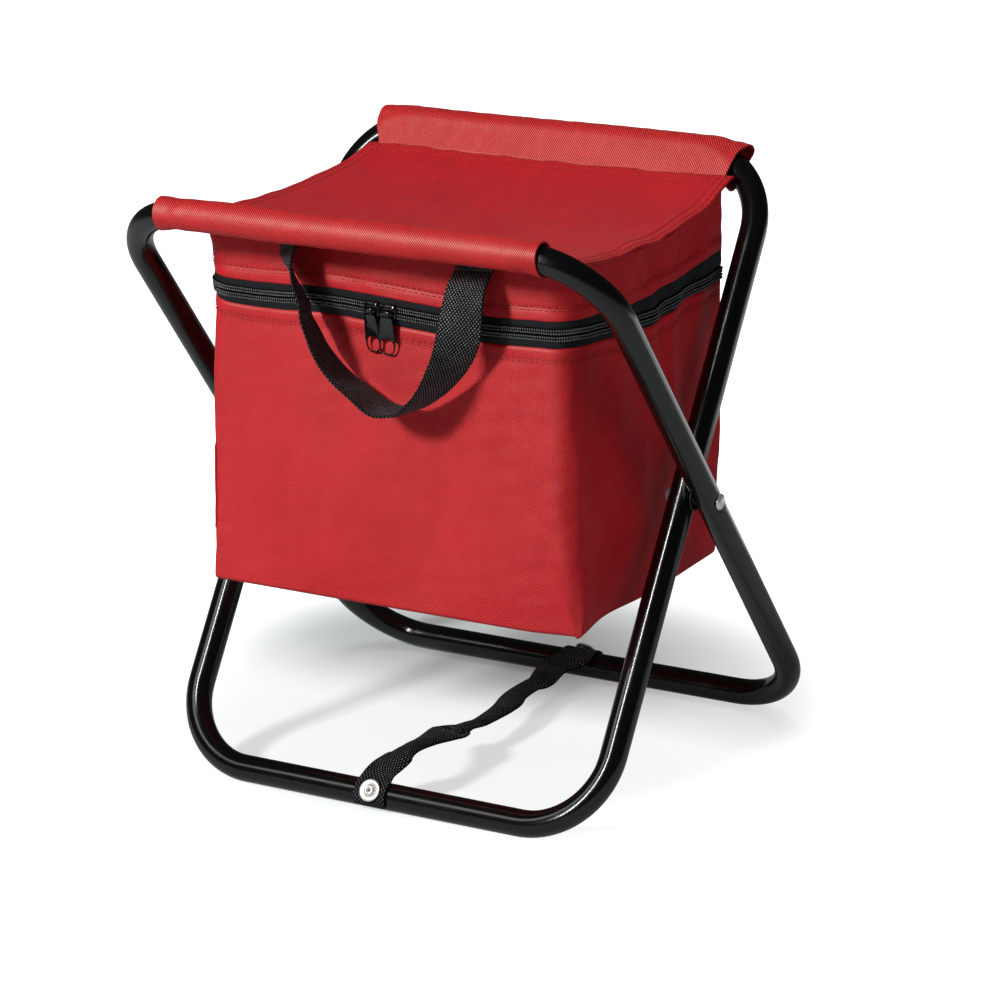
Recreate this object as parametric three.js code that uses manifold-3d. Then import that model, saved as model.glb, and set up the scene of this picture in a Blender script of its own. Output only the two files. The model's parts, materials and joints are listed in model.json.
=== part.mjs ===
// Folding cooler stool: two bent tube loops crossed on rivets, a sling seat and an insulated bag under it.
// Millimetres. X runs across the width, Y from the front to the rear, Z up from the floor.

import * as THREE from "three";
import { mergeVertices } from "three/addons/utils/BufferGeometryUtils.js";
import Module from "manifold-3d";

const wasm = await Module();
wasm.setup();

// Frame tubes
const tubeDiameter = 16;
const tubeWall = 1;
const bendRadius = 48.5;
const topRailHeight = 346.5;
const bottomRailOffset = 3;
const loopGap = 1;
const neckWall = 1;
const neckLength = 24;
const neckCollarLength = 3;
const tubeSides = 20;
const boreSides = 12;
const bendSteps = 8;

// Clearances
const runningGap = 0.3;
const layerGap = 0.3;
const washerGap = 0.1;
const seatSideGap = 7.8;
const bagFrontGap = 37.5;
const bagRearGap = 30.5;
const cutOverrun = 4;

// Pivot rivets and the washers between the loops
const pivotShankDiameter = 5;
const pivotHeadDiameter = 9.6;
const pivotHeadHeight = 2.2;
const pivotRecessDiameter = 11.4;
const pivotRecessDepth = 0.5;
const pivotTailDiameter = 8.4;
const pivotTailHeight = 1.6;
const pivotWasherDiameter = 15;

// Seat sling and its sleeves
const seatWidth = 252;
const seatThickness = 1.6;
const sleeveThickness = 1.2;
const frontTailDepth = 16;
const frontTailOffset = 5.3;
const rearTailDepth = 18.5;
const rearTailOffset = 9.8;
const seatFrontPullDepth = 37.6;
const seatFrontPullHeight = 26.1;
const seatRearPullDepth = 41;
const seatRearPullHeight = 20.7;
const foldAngle = 52;

// Cooler bag
const seatEdgeOffset = 1;
const bagDepth = 171;
const bagHeight = 214.5;
const bagTopOffset = 16.5;
const bagCornerRadius = 16;
const bagLeanDepth = 12;
const zipOffset = 55.5;
const zipBandHeight = 14.5;
const fabricThickness = 1.2;
const foamThickness = 4;
const liningThickness = 0.8;

// Zipper
const tapeThickness = 0.8;
const coilHeight = 2.4;
const coilDepth = 1.6;
const chainGap = 0.6;
const sliderLength = 11;
const sliderHeight = 8.6;
const sliderWall = 1.2;
const sliderCornerRadius = 2.6;
const bailDiameter = 1.5;
const bailDepth = 3.2;
const bailInset = 1.2;
const eyeWall = 0.9;
const pullWidth = 10;
const pullNeckWidth = 8;
const pullLength = 27;
const pullThickness = 1.1;
const pullRim = 1.3;
const pullHoleHeight = 8.4;
const zipMeet = -1.4;

// Carry handle
const webbingWidth = 25;
const webbingThickness = 1.8;
const handleWidth = 122;
const handleTabHeight = 9;
const handleTabOffset = 0.5;
const handleHeight = 90;
const handleDepth = 22;

// Spreader strap along the floor and its rivets
const strapWidth = 20;
const strapThickness = 1.4;
const strapHeight = 28;
const strapWrapEnd = -25;
const strapFrontLeave = 62;
const strapRearMeet = 100;
const strapWasherDiameter = 13.5;
const strapWasherThickness = 0.8;
const strapHeadDiameter = 7;
const strapHeadHeight = 1.2;
const strapHeadHole = 2;
const strapShankDiameter = 4;
const strapTailDiameter = 5.4;
const strapTailLength = 3;

// Share of half the bottom spread, and share of the strap's rise, along its free run
const strapRunShares = [
  [-0.86, 0.93],
  [-0.755, 1],
  [-0.515, 0.857],
  [-0.257, 0.66],
  [0, 0.59],
  [0.3, 0.554],
  [0.6, 0.51],
  [0.84, 0.52],
];

// Share of half the handle's width, of its depth and of its height, from one sewn end to the other
const handlePathShares = [
  [-1, 0, 0],
  [-0.96, 0.55, 0.08],
  [-0.88, 0.85, 0.17],
  [-0.75, 1, 0.38],
  [-0.65, 1, 0.62],
  [-0.46, 1, 0.81],
  [-0.24, 1, 0.93],
  [0.06, 1, 1],
  [0.32, 1, 0.96],
  [0.58, 1, 0.84],
  [0.79, 1, 0.64],
  [0.93, 1, 0.41],
  [1, 0.85, 0.17],
  [1, 0.5, 0.07],
  [1, 0, 0],
];

// Share of the handle's length, and share of the half turn that the webbing makes up to there
const handleTwistShares = [
  [0, 0],
  [0.05, 0.14],
  [0.14, 0.33],
  [0.5, 0.5],
  [0.78, 0.8],
  [0.93, 0.96],
  [1, 1],
];

// Sizes worked out from the driving dimensions
const tubeRadius = tubeDiameter / 2;
const boreRadius = tubeRadius - tubeWall;
const topRailSpread = bagFrontGap + bagDepth + bagRearGap;
const bottomRailSpread = topRailSpread - 2 * bottomRailOffset;
const innerLoopWidth = seatWidth + 2 * (seatSideGap + tubeRadius);
const railHeight = tubeRadius * Math.cos(Math.PI / tubeSides);
const loopHeight = topRailHeight - railHeight;
const outerLoopWidth = innerLoopWidth + 2 * (tubeDiameter + loopGap);
const pivotShare = bottomRailSpread / (bottomRailSpread + topRailSpread);
const pivotHeight = railHeight + loopHeight * pivotShare;
const loopRun = (topRailSpread + bottomRailSpread) / 2;
const loopLength = Math.hypot(loopRun, loopHeight);
const loopTilt = Math.atan2(loopRun, loopHeight);
const pivotHoleRadius = pivotShankDiameter / 2 + runningGap;
const halfSeat = seatWidth / 2;
const bagWidth = seatWidth - 2 * seatEdgeOffset;
const bagTopHeight = topRailHeight - bagTopOffset;
const bagBottomHeight = bagTopHeight - bagHeight;
const bagRear = topRailSpread / 2 - bagRearGap;
const zipHeight = topRailHeight - zipOffset;
const leanShare = bagLeanDepth / bagHeight;
const zipTop = zipHeight + zipBandHeight / 2;
const zipBottom = zipHeight - zipBandHeight / 2;
const lidTop = topRailHeight;

// Finishes
function finish(color, roughness, metalness = 0) {
  return new THREE.MeshStandardMaterial({ color, roughness, metalness });
}

const blackPaint = () => finish(0x0b0b0c, 0.22, 0.1);
const bareSteel = () => finish(0xc8c9cc, 0.3, 0.9);
const blackZinc = () => finish(0x121214, 0.35, 0.6);
const redFabric = () => finish(0xb5262b, 0.85);
const blackWebbing = () => finish(0x17171a, 0.8);
const blackNylon = () => finish(0x101012, 0.5);
const whiteFoam = () => finish(0xe9e9e6, 0.9);
const foilLining = () => finish(0xc4c7cb, 0.35, 0.5);

// Solids: a closed geometry as a solid for joining and cutting, and back
function solid(geometry) {
  const bare = geometry.clone();
  bare.deleteAttribute("normal");
  bare.deleteAttribute("uv");
  const merged = mergeVertices(bare, 1e-4);
  return new wasm.Manifold(
    new wasm.Mesh({
      numProp: 3,
      vertProperties: new Float32Array(merged.attributes.position.array),
      triVerts: new Uint32Array(merged.index.array),
    }),
  );
}

function geometryOf(body) {
  const mesh = body.getMesh();
  const geometry = new THREE.BufferGeometry();
  geometry.setAttribute("position", new THREE.BufferAttribute(new Float32Array(mesh.vertProperties), 3));
  geometry.setIndex(new THREE.BufferAttribute(new Uint32Array(mesh.triVerts), 1));
  const flat = geometry.toNonIndexed();
  flat.computeVertexNormals();
  return flat;
}

const group = new THREE.Group();
group.name = "folding_cooler_stool";

function addPiece(parent, name, geometry, material) {
  const mesh = new THREE.Mesh(geometry, material);
  mesh.name = name;
  parent.add(mesh);
  return mesh;
}

// A side-view outline, drawn in Y and Z, carried across the width from one X to another
function acrossWidth(outline, fromX, toX, curveSegments = 8) {
  const geometry = new THREE.ExtrudeGeometry(outline, {
    depth: toX - fromX,
    bevelEnabled: false,
    curveSegments,
  });
  geometry.translate(0, 0, fromX);
  const turn = new THREE.Matrix4().makeBasis(
    new THREE.Vector3(0, 1, 0),
    new THREE.Vector3(0, 0, 1),
    new THREE.Vector3(1, 0, 0),
  );
  return geometry.applyMatrix4(turn);
}

// A round bar from one point to another
function barBetween(start, end, radius, sides = 20) {
  const axis = end.clone().sub(start);
  const geometry = new THREE.CylinderGeometry(radius, radius, axis.length(), sides);
  const turn = new THREE.Quaternion().setFromUnitVectors(new THREE.Vector3(0, 1, 0), axis.clone().normalize());
  geometry.applyQuaternion(turn);
  geometry.translate(...start.clone().add(end).multiplyScalar(1 / 2).toArray());
  return geometry;
}

// A profile of radius and height points turned about an axis that starts at a point
function turnedAlong(profile, origin, direction, sides = 24) {
  const geometry = new THREE.LatheGeometry(profile, sides);
  const turn = new THREE.Quaternion().setFromUnitVectors(new THREE.Vector3(0, 1, 0), direction.clone().normalize());
  geometry.applyQuaternion(turn);
  geometry.translate(...origin.toArray());
  return geometry;
}

// Bent tube loops
// A path whose stations lie where the bends need them, each with its own direction
class StationPath extends THREE.Curve {
  constructor(stations) {
    super();
    this.stations = stations;
  }

  stationAt(t) {
    return this.stations[Math.round(t * (this.stations.length - 1))];
  }

  getUtoTmapping(u) {
    return u;
  }

  getPoint(t, target = new THREE.Vector3()) {
    return target.copy(this.stationAt(t).point);
  }

  getTangent(t, target = new THREE.Vector3()) {
    return target.copy(this.stationAt(t).direction);
  }
}

// Places on the loop: across the width, and up along the leg from the bottom rail; side is -1 or 1
function loopPoint(across, along, lean) {
  const share = along / loopLength;
  return new THREE.Vector3(
    across,
    lean * (loopRun * share - bottomRailSpread / 2),
    railHeight + loopHeight * share,
  );
}

function loopDirection(across, along, lean) {
  return new THREE.Vector3(across, along * lean * Math.sin(loopTilt), along * Math.cos(loopTilt));
}

// The loop starts and ends in the middle of its top rail, where one end slips into the other
function loopStations(width, lean) {
  const half = width / 2;
  const corners = [
    [1, 1],
    [1, -1],
    [-1, -1],
    [-1, 1],
  ];
  const stations = [
    { point: loopPoint(runningGap, loopLength, lean), direction: loopDirection(1, 0, lean) },
  ];
  corners.forEach(([sideX, sideZ], corner) => {
    const middleX = sideX * (half - bendRadius);
    const middleZ = loopLength / 2 + sideZ * (loopLength / 2 - bendRadius);
    for (let step = 0; step <= bendSteps; step += 1) {
      const angle = Math.PI / 2 - (Math.PI / 2) * (corner + step / bendSteps);
      const x = middleX + bendRadius * Math.cos(angle);
      const z = middleZ + bendRadius * Math.sin(angle);
      stations.push({
        point: loopPoint(x, z, lean),
        direction: loopDirection(Math.sin(angle), -Math.cos(angle), lean),
      });
    }
  });
  stations.push({ point: loopPoint(-runningGap, loopLength, lean), direction: loopDirection(1, 0, lean) });
  return stations;
}

function polygonShape(radius, sides, turn) {
  const points = Array.from({ length: sides }, (_, i) => {
    const angle = turn + (2 * Math.PI * i) / sides;
    return new THREE.Vector2(radius * Math.cos(angle), radius * Math.sin(angle));
  });
  return new THREE.Shape(points);
}

// The section's turn that lays one flat of the bottom rail on the floor
function sectionTurn(lean) {
  return Math.PI - lean * 2 * loopTilt - Math.PI / tubeSides;
}

function loopTube(width, lean, holes) {
  const section = polygonShape(tubeRadius, tubeSides, sectionTurn(lean));
  section.holes.push(polygonShape(boreRadius, boreSides, 0));
  const stations = loopStations(width, lean);
  const tube = new THREE.ExtrudeGeometry(section, {
    steps: stations.length - 1,
    extrudePath: new StationPath(stations),
  });
  const boreFlat = boreRadius * Math.cos(Math.PI / boreSides);
  const neckRadius = boreFlat - runningGap;
  const collarRadius = (tubeRadius + boreRadius) / 2;
  const rail = loopPoint(0, loopLength, lean);
  const at = (x) => rail.clone().setX(x);
  const collarStart = -runningGap - neckCollarLength;
  const neck = solid(barBetween(at(collarStart), at(neckLength), neckRadius))
    .add(solid(barBetween(at(collarStart), at(-runningGap), collarRadius)))
    .subtract(solid(barBetween(at(collarStart - cutOverrun), at(neckLength + cutOverrun), neckRadius - neckWall)));
  const joined = solid(tube).add(neck);
  return geometryOf(holes.reduce((body, hole) => body.subtract(solid(hole)), joined));
}

// Rivets and washers of the pivots
function pivotAt(x) {
  return new THREE.Vector3(x, 0, pivotHeight);
}

function pivotHoles() {
  const reach = outerLoopWidth / 2 + tubeRadius;
  const recessFloor = reach - pivotRecessDepth;
  const holes = [];
  for (const side of [-1, 1]) {
    const inside = pivotAt(side * (innerLoopWidth / 2 - tubeRadius - cutOverrun));
    holes.push(barBetween(inside, pivotAt(side * (reach + cutOverrun)), pivotHoleRadius));
    holes.push(
      barBetween(pivotAt(side * recessFloor), pivotAt(side * (reach + cutOverrun)), pivotRecessDiameter / 2),
    );
  }
  return holes;
}

// A shank with a domed head at one end and a formed tail at the other
function pivotRivet(side) {
  const seat = outerLoopWidth / 2 + tubeRadius - pivotRecessDepth + runningGap;
  const tailSeat = innerLoopWidth / 2 - tubeRadius - runningGap;
  const shank = pivotShankDiameter / 2;
  const profile = [
    [0, tailSeat - pivotTailHeight],
    [pivotTailDiameter / 4, tailSeat - pivotTailHeight],
    [pivotTailDiameter / 2, tailSeat - pivotTailHeight / 2],
    [pivotTailDiameter / 2, tailSeat],
    [shank, tailSeat],
    [shank, seat],
    [pivotHeadDiameter / 2, seat],
    [pivotHeadDiameter / 2, seat + pivotHeadHeight / 3],
    [(pivotHeadDiameter * 3) / 8, seat + (pivotHeadHeight * 3) / 4],
    [pivotHeadDiameter / 5, seat + pivotHeadHeight],
    [0, seat + pivotHeadHeight],
  ].map(([radius, height]) => new THREE.Vector2(radius, height));
  return turnedAlong(profile, pivotAt(0), new THREE.Vector3(side, 0, 0));
}

function ringProfile(inner, outer, low, high) {
  return [
    [inner, low],
    [outer, low],
    [outer, high],
    [inner, high],
    [inner, low],
  ].map(([radius, height]) => new THREE.Vector2(radius, height));
}

function pivotWasher(side) {
  const low = innerLoopWidth / 2 + tubeRadius + washerGap;
  const high = outerLoopWidth / 2 - tubeRadius - washerGap;
  const profile = ringProfile(pivotHoleRadius, pivotWasherDiameter / 2, low, high);
  return turnedAlong(profile, pivotAt(0), new THREE.Vector3(side, 0, 0));
}

// Seat sling
// The convex outline round some circles in the side view, counterclockwise
function outlineRound(circles) {
  const arcSides = 24;
  const points = circles
    .flatMap(({ y, z, radius }) =>
      Array.from({ length: arcSides }, (_, i) => {
        const angle = (2 * Math.PI * i) / arcSides;
        return [y + radius * Math.cos(angle), z + radius * Math.sin(angle)];
      }),
    )
    .sort((a, b) => a[0] - b[0] || a[1] - b[1]);
  const turnOf = (o, a, b) => (a[0] - o[0]) * (b[1] - o[1]) - (a[1] - o[1]) * (b[0] - o[0]);
  const chain = (list) => {
    const kept = [];
    for (const point of list) {
      while (kept.length > 1 && turnOf(kept[kept.length - 2], kept[kept.length - 1], point) <= 0) {
        kept.pop();
      }
      kept.push(point);
    }
    return kept.slice(0, -1);
  };
  return [...chain(points), ...chain(points.slice().reverse())].map(([y, z]) => new THREE.Vector2(y, z));
}

// How far down the leg the tube's underside has bent where the tube leaves a sleeve's mouth
function mouthDrop(loopWidth) {
  const past = Math.max(0, halfSeat - (loopWidth / 2 - bendRadius));
  const undersideBend = bendRadius - tubeRadius;
  return undersideBend - Math.sqrt(undersideBend ** 2 - past ** 2) + runningGap;
}

// A sleeve round a top rail: room for the tube at each of some leg directions, and a sewn tail
function sleeve(railY, legDirections, drop, tail) {
  const room = tubeRadius + runningGap;
  const circles = [{ y: railY, z: topRailHeight, radius: room }];
  for (const direction of legDirections) {
    circles.push({
      y: railY + drop * Math.sin(direction),
      z: topRailHeight - drop * Math.cos(direction),
      radius: room,
    });
  }
  const grown = (extra) => [
    ...circles.map((circle) => ({ ...circle, radius: circle.radius + extra })),
    { ...tail, radius: extra ? seatThickness / 2 : runningGap },
  ];
  const outline = new THREE.Shape(outlineRound(grown(sleeveThickness)));
  outline.holes.push(new THREE.Path(outlineRound(grown(0))));
  return acrossWidth(outline, -halfSeat, halfSeat);
}

const frontRailY = -topRailSpread / 2;
const rearRailY = topRailSpread / 2;
const frontTail = { y: frontRailY + frontTailDepth, z: topRailHeight - frontTailOffset };
const rearTail = { y: rearRailY - rearTailDepth, z: topRailHeight - rearTailOffset };

// The seat's top line in the side view, from the front sleeve's tail to the rear sleeve's tail
function seatCurve() {
  const half = seatThickness / 2;
  const tailEnd = half + layerGap;
  return new THREE.CubicBezierCurve(
    new THREE.Vector2(frontTail.y + tailEnd, frontTail.z + half),
    new THREE.Vector2(frontTail.y + seatFrontPullDepth, topRailHeight - seatFrontPullHeight),
    new THREE.Vector2(rearTail.y - seatRearPullDepth, topRailHeight - seatRearPullHeight),
    new THREE.Vector2(rearTail.y - tailEnd, rearTail.z + half),
  );
}

const seatSteps = 20;

function seatLine(drop) {
  return seatCurve()
    .getPoints(seatSteps)
    .map((point) => new THREE.Vector2(point.x, point.y - drop));
}

function seatPanel() {
  const top = seatLine(0);
  const bottom = seatLine(seatThickness);
  return acrossWidth(new THREE.Shape([...bottom, ...top.reverse()]), -halfSeat, halfSeat);
}

// Everything above the seat's underside, less a drop, as a cutter
function aboveSeat(drop) {
  const line = seatLine(seatThickness + drop);
  const roof = topRailHeight + tubeDiameter;
  const shape = new THREE.Shape([
    ...line,
    new THREE.Vector2(line[line.length - 1].x, roof),
    new THREE.Vector2(line[0].x, roof),
  ]);
  return solid(acrossWidth(shape, -seatWidth, seatWidth));
}

// Cooler bag
// A plan with round corners, drawn inwards from the bag's outer face
function bagPlan(inset) {
  const radius = bagCornerRadius - inset;
  const halfWidth = bagWidth / 2 - inset;
  const front = bagRear - bagDepth + inset;
  const rear = bagRear - inset;
  const plan = new THREE.Shape();
  plan.absarc(halfWidth - radius, rear - radius, radius, 0, Math.PI / 2);
  plan.absarc(-halfWidth + radius, rear - radius, radius, Math.PI / 2, Math.PI);
  plan.absarc(-halfWidth + radius, front + radius, radius, Math.PI, (3 * Math.PI) / 2);
  plan.absarc(halfWidth - radius, front + radius, radius, (3 * Math.PI) / 2, 2 * Math.PI);
  return plan;
}

// A block of the bag's plan between two heights, leaning forward towards the bottom
function bagBlock(inset, low, high) {
  const geometry = new THREE.ExtrudeGeometry(bagPlan(inset), {
    depth: high - low,
    bevelEnabled: false,
    curveSegments: 5,
  });
  geometry.translate(0, 0, low);
  const lean = new THREE.Matrix4().makeShear(0, 0, 0, 0, 0, leanShare);
  lean.setPosition(0, -leanShare * bagTopHeight, 0);
  return solid(geometry.applyMatrix4(lean));
}

function bagRing(outerInset, innerInset, low, high) {
  return bagBlock(outerInset, low, high).subtract(bagBlock(innerInset, low - cutOverrun, high + cutOverrun));
}

const foamInset = fabricThickness + layerGap;
const liningInset = foamInset + foamThickness + layerGap;
const cavityInset = liningInset + liningThickness;
const bagSplit = zipHeight - chainGap / 2;
const lidSplit = zipHeight + chainGap / 2;

// Where the zipper runs: the front and both sides, up to the start of the rear corners
function zipZone() {
  const rear = bagRear - bagCornerRadius - leanShare * (bagTopHeight - zipHeight);
  const front = bagRear - bagDepth - cutOverrun - bagLeanDepth;
  const box = new THREE.BoxGeometry(seatWidth, rear - front, bagTopHeight - bagBottomHeight);
  box.translate(0, (rear + front) / 2, zipHeight);
  return solid(box);
}

// The fabric box below the zipper; its rear wall reaches up to the hinge line
function bagShell() {
  const tapeRoom = bagBlock(-cutOverrun, zipBottom, bagSplit + cutOverrun).intersect(zipZone());
  const walls = bagBlock(0, bagBottomHeight, bagSplit).subtract(
    bagBlock(fabricThickness, bagBottomHeight + fabricThickness, bagSplit + cutOverrun),
  );
  return geometryOf(walls.subtract(tapeRoom));
}

function bagTray(inset, thickness) {
  const floor = bagBottomHeight + inset;
  return geometryOf(
    bagBlock(inset, floor, bagSplit).subtract(
      bagBlock(inset + thickness, floor + thickness, bagSplit + cutOverrun),
    ),
  );
}

// The lid's fabric band between the zipper and the seat
function lidBand() {
  const tapeRoom = bagBlock(-cutOverrun, lidSplit - cutOverrun, zipTop).intersect(zipZone());
  return geometryOf(
    bagRing(0, fabricThickness, lidSplit, lidTop).subtract(tapeRoom).subtract(aboveSeat(layerGap)),
  );
}

// A tray turned upside down under the seat
function lidTray(inset, thickness, drop) {
  const outside = bagBlock(inset, lidSplit, lidTop).subtract(aboveSeat(drop));
  const hollow = bagBlock(inset + thickness, lidSplit - cutOverrun, lidTop).subtract(aboveSeat(drop + thickness));
  return geometryOf(outside.subtract(hollow));
}

// Zipper
function zipRing(outerInset, innerInset, low, high) {
  return geometryOf(bagRing(outerInset, innerInset, low, high).intersect(zipZone()));
}

const tapeInset = (fabricThickness - tapeThickness) / 2;
const coilInset = tapeInset - washerGap;

// The bag's front face at a height
function frontFace(height) {
  return bagRear - bagDepth - leanShare * (bagTopHeight - height);
}

const chainFace = frontFace(zipHeight) + coilInset - coilDepth;
const sliderBack = chainFace - runningGap;
const sliderFace = sliderBack - sliderWall;
const bailY = sliderFace - bailDepth;

function roundedPlate(width, height, radius) {
  const plate = new THREE.Shape();
  const x = width / 2 - radius;
  const z = height / 2 - radius;
  plate.absarc(x, z, radius, 0, Math.PI / 2);
  plate.absarc(-x, z, radius, Math.PI / 2, Math.PI);
  plate.absarc(-x, -z, radius, Math.PI, (3 * Math.PI) / 2);
  plate.absarc(x, -z, radius, (3 * Math.PI) / 2, 2 * Math.PI);
  return plate;
}

// A front-view outline, drawn in X and Z, carried back from the front by a thickness
function frontPlate(outline, frontY, thickness) {
  const geometry = new THREE.ExtrudeGeometry(outline, {
    depth: thickness,
    bevelEnabled: false,
    curveSegments: 4,
  });
  geometry.rotateX(Math.PI / 2);
  return geometry.translate(0, frontY + thickness, 0);
}

// A plate over the chain, a flange that hooks over the upper coil, and a bail for the pull
function zipSlider() {
  const body = solid(frontPlate(roundedPlate(sliderLength, sliderHeight, sliderCornerRadius), sliderFace, sliderWall));
  const flangeLow = chainGap / 2 + coilHeight + runningGap;
  const flangeDepth = coilDepth / 2 + runningGap + sliderWall;
  const flange = new THREE.BoxGeometry(
    sliderLength - 2 * sliderCornerRadius,
    flangeDepth,
    sliderHeight / 2 - flangeLow,
  );
  flange.translate(0, sliderFace + flangeDepth / 2, (sliderHeight / 2 + flangeLow) / 2);
  const bailX = sliderLength / 2 - bailInset;
  const radius = bailDiameter / 2;
  const bar = barBetween(
    new THREE.Vector3(-bailX - radius, bailY, 0),
    new THREE.Vector3(bailX + radius, bailY, 0),
    radius,
    12,
  );
  const joined = [-1, 1].reduce((made, side) => {
    const foot = new THREE.BoxGeometry(bailDiameter, bailDepth + sliderWall / 2, bailDiameter);
    foot.translate(side * bailX, sliderFace - bailDepth / 2 + sliderWall / 4, 0);
    return made.add(solid(foot));
  }, body.add(solid(flange)).add(solid(bar)));
  return geometryOf(joined);
}

// A tab with a rolled eye round the bail's bar and a large hole at its lower end
function zipPull() {
  const eyeInner = bailDiameter / 2 + runningGap;
  const eyeOuter = eyeInner + eyeWall;
  const eyeHalf = sliderLength / 2 - bailInset - bailDiameter / 2 - runningGap;
  const eye = (radius, half) =>
    solid(barBetween(new THREE.Vector3(-half, bailY, 0), new THREE.Vector3(half, bailY, 0), radius, 16));
  const neck = pullNeckWidth / 2;
  const low = -pullLength + pullWidth / 2;
  const tab = new THREE.Shape();
  tab.moveTo(neck, -eyeInner - eyeWall / 2);
  tab.lineTo(-neck, -eyeInner - eyeWall / 2);
  tab.lineTo(-pullWidth / 2, low);
  tab.absarc(0, low, pullWidth / 2, Math.PI, 2 * Math.PI);
  tab.closePath();
  const holeRadius = pullWidth / 2 - pullRim;
  const holeTop = low + pullHoleHeight - 2 * holeRadius;
  const hole = new THREE.Path();
  hole.absarc(0, low, holeRadius, 0, Math.PI, true);
  hole.absarc(0, holeTop, holeRadius, Math.PI, 0, true);
  hole.closePath();
  tab.holes.push(hole);
  const plate = solid(frontPlate(tab, bailY - pullThickness / 2, pullThickness));
  return geometryOf(plate.add(eye(eyeOuter, eyeHalf)).subtract(eye(eyeInner, eyeHalf + cutOverrun)));
}

// Webbing
// A flat band lofted through frames, each with a middle, a side direction and a face direction
function bandGeometry(frames, width, thickness) {
  const corners = [
    [1, 1],
    [-1, 1],
    [-1, -1],
    [1, -1],
  ];
  const positions = frames.flatMap(({ middle, side, face }) =>
    corners.flatMap(([a, b]) =>
      middle
        .clone()
        .addScaledVector(side, (a * width) / 2)
        .addScaledVector(face, (b * thickness) / 2)
        .toArray(),
    ),
  );
  const count = corners.length;
  const index = [0, 3, 2, 0, 2, 1];
  for (let ring = 0; ring < frames.length - 1; ring += 1) {
    for (let k = 0; k < count; k += 1) {
      const a = ring * count + k;
      const b = ring * count + ((k + 1) % count);
      index.push(a, b, b + count, a, b + count, a + count);
    }
  }
  const last = (frames.length - 1) * count;
  index.push(last, last + 1, last + 2, last, last + 2, last + 3);
  const geometry = new THREE.BufferGeometry();
  geometry.setAttribute("position", new THREE.Float32BufferAttribute(positions, 3));
  geometry.setIndex(index);
  const flat = geometry.toNonIndexed();
  flat.computeVertexNormals();
  return flat;
}

function shareAt(table, t) {
  const next = Math.max(1, table.findIndex(([at]) => at >= t));
  const [t0, v0] = table[next - 1];
  const [t1, v1] = table[next];
  return v0 + ((v1 - v0) * (t - t0)) / (t1 - t0);
}

const tabHigh = seatHeightAt(frontFace(bagTopHeight)) - seatThickness - handleTabOffset;
const tabLow = tabHigh - handleTabHeight;
const tabBack = frontFace(tabLow) - layerGap;
const tabFront = tabBack - webbingThickness;

// The seat's top height at a place between front and rear
function seatHeightAt(y) {
  const points = seatCurve().getPoints(seatSteps);
  const next = Math.max(1, points.findIndex((point) => point.x >= y));
  const [a, b] = [points[next - 1], points[next]];
  return a.y + ((b.y - a.y) * (y - a.x)) / (b.x - a.x);
}

function handleTab(side) {
  const tab = new THREE.BoxGeometry(webbingWidth, webbingThickness, handleTabHeight);
  tab.translate((side * handleWidth) / 2, (tabBack + tabFront) / 2, (tabHigh + tabLow) / 2);
  return tab;
}

// The webbing hangs in a bow in front of the bag and makes a half turn from end to end
function carryHandle() {
  const top = tabLow - runningGap;
  const middleY = (tabBack + tabFront) / 2;
  const path = new THREE.CatmullRomCurve3(
    handlePathShares.map(
      ([across, out, down]) =>
        new THREE.Vector3((across * handleWidth) / 2, middleY - out * handleDepth, top - down * handleHeight),
    ),
    false,
    "centripetal",
  );
  const steps = 44;
  const frames = Array.from({ length: steps + 1 }, (_, i) => {
    const t = i / steps;
    const atEnd = i === 0 || i === steps;
    const along = atEnd ? new THREE.Vector3(0, 0, i === 0 ? -1 : 1) : path.getTangentAt(t);
    const turn = -Math.PI * shareAt(handleTwistShares, t);
    const flat = new THREE.Vector3(Math.cos(turn), Math.sin(turn), 0);
    const side = flat.addScaledVector(along, -flat.dot(along)).normalize();
    return { middle: path.getPointAt(t), side, face: new THREE.Vector3().crossVectors(along, side) };
  });
  return bandGeometry(frames, webbingWidth, webbingThickness);
}

// Spreader strap
const strapReach = tubeRadius + runningGap + strapThickness / 2;

function degrees(value) {
  return THREE.MathUtils.degToRad(value);
}

// The strap's middle line: round the front rail, along its free run, and round the rear rail
function strapLine() {
  const half = bottomRailSpread / 2;
  const arcSteps = 7;
  const arc = (end, from, to) =>
    Array.from({ length: arcSteps + 1 }, (_, i) => {
      const angle = degrees(from + ((to - from) * i) / arcSteps);
      return new THREE.Vector2(
        end * (half + strapReach * Math.cos(angle)),
        railHeight + strapReach * Math.sin(angle),
      );
    });
  const front = arc(-1, strapWrapEnd, strapFrontLeave);
  const rear = arc(1, strapRearMeet, strapWrapEnd);
  const run = new THREE.SplineCurve([
    front[front.length - 1],
    ...strapRunShares.map(([along, up]) => new THREE.Vector2(along * half, up * strapHeight)),
    rear[0],
  ]).getPoints(30);
  return [...front, ...run.slice(1, -1), ...rear];
}

function strapOutline() {
  const line = strapLine();
  const offsetBy = (distance) =>
    line.map((point, i) => {
      const before = line[Math.max(0, i - 1)];
      const after = line[Math.min(line.length - 1, i + 1)];
      const along = after.clone().sub(before).normalize();
      return new THREE.Vector2(point.x - along.y * distance, point.y + along.x * distance);
    });
  return new THREE.Shape([...offsetBy(-strapThickness / 2), ...offsetBy(strapThickness / 2).reverse()]);
}

// The strap's rivets stand square to the plane of the loop that carries them
function strapRivetAxis(end) {
  return new THREE.Vector3(0, end * Math.cos(loopTilt), Math.sin(loopTilt));
}

function strapRailAt(end) {
  return new THREE.Vector3(0, (end * bottomRailSpread) / 2, railHeight);
}

function strapHole(end, radius, from, to) {
  const axis = strapRivetAxis(end);
  const rail = strapRailAt(end);
  return barBetween(
    rail.clone().addScaledVector(axis, from),
    rail.clone().addScaledVector(axis, to),
    radius,
  );
}

const strapFace = tubeRadius + runningGap + strapThickness;
const washerSeat = strapFace + runningGap;

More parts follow.
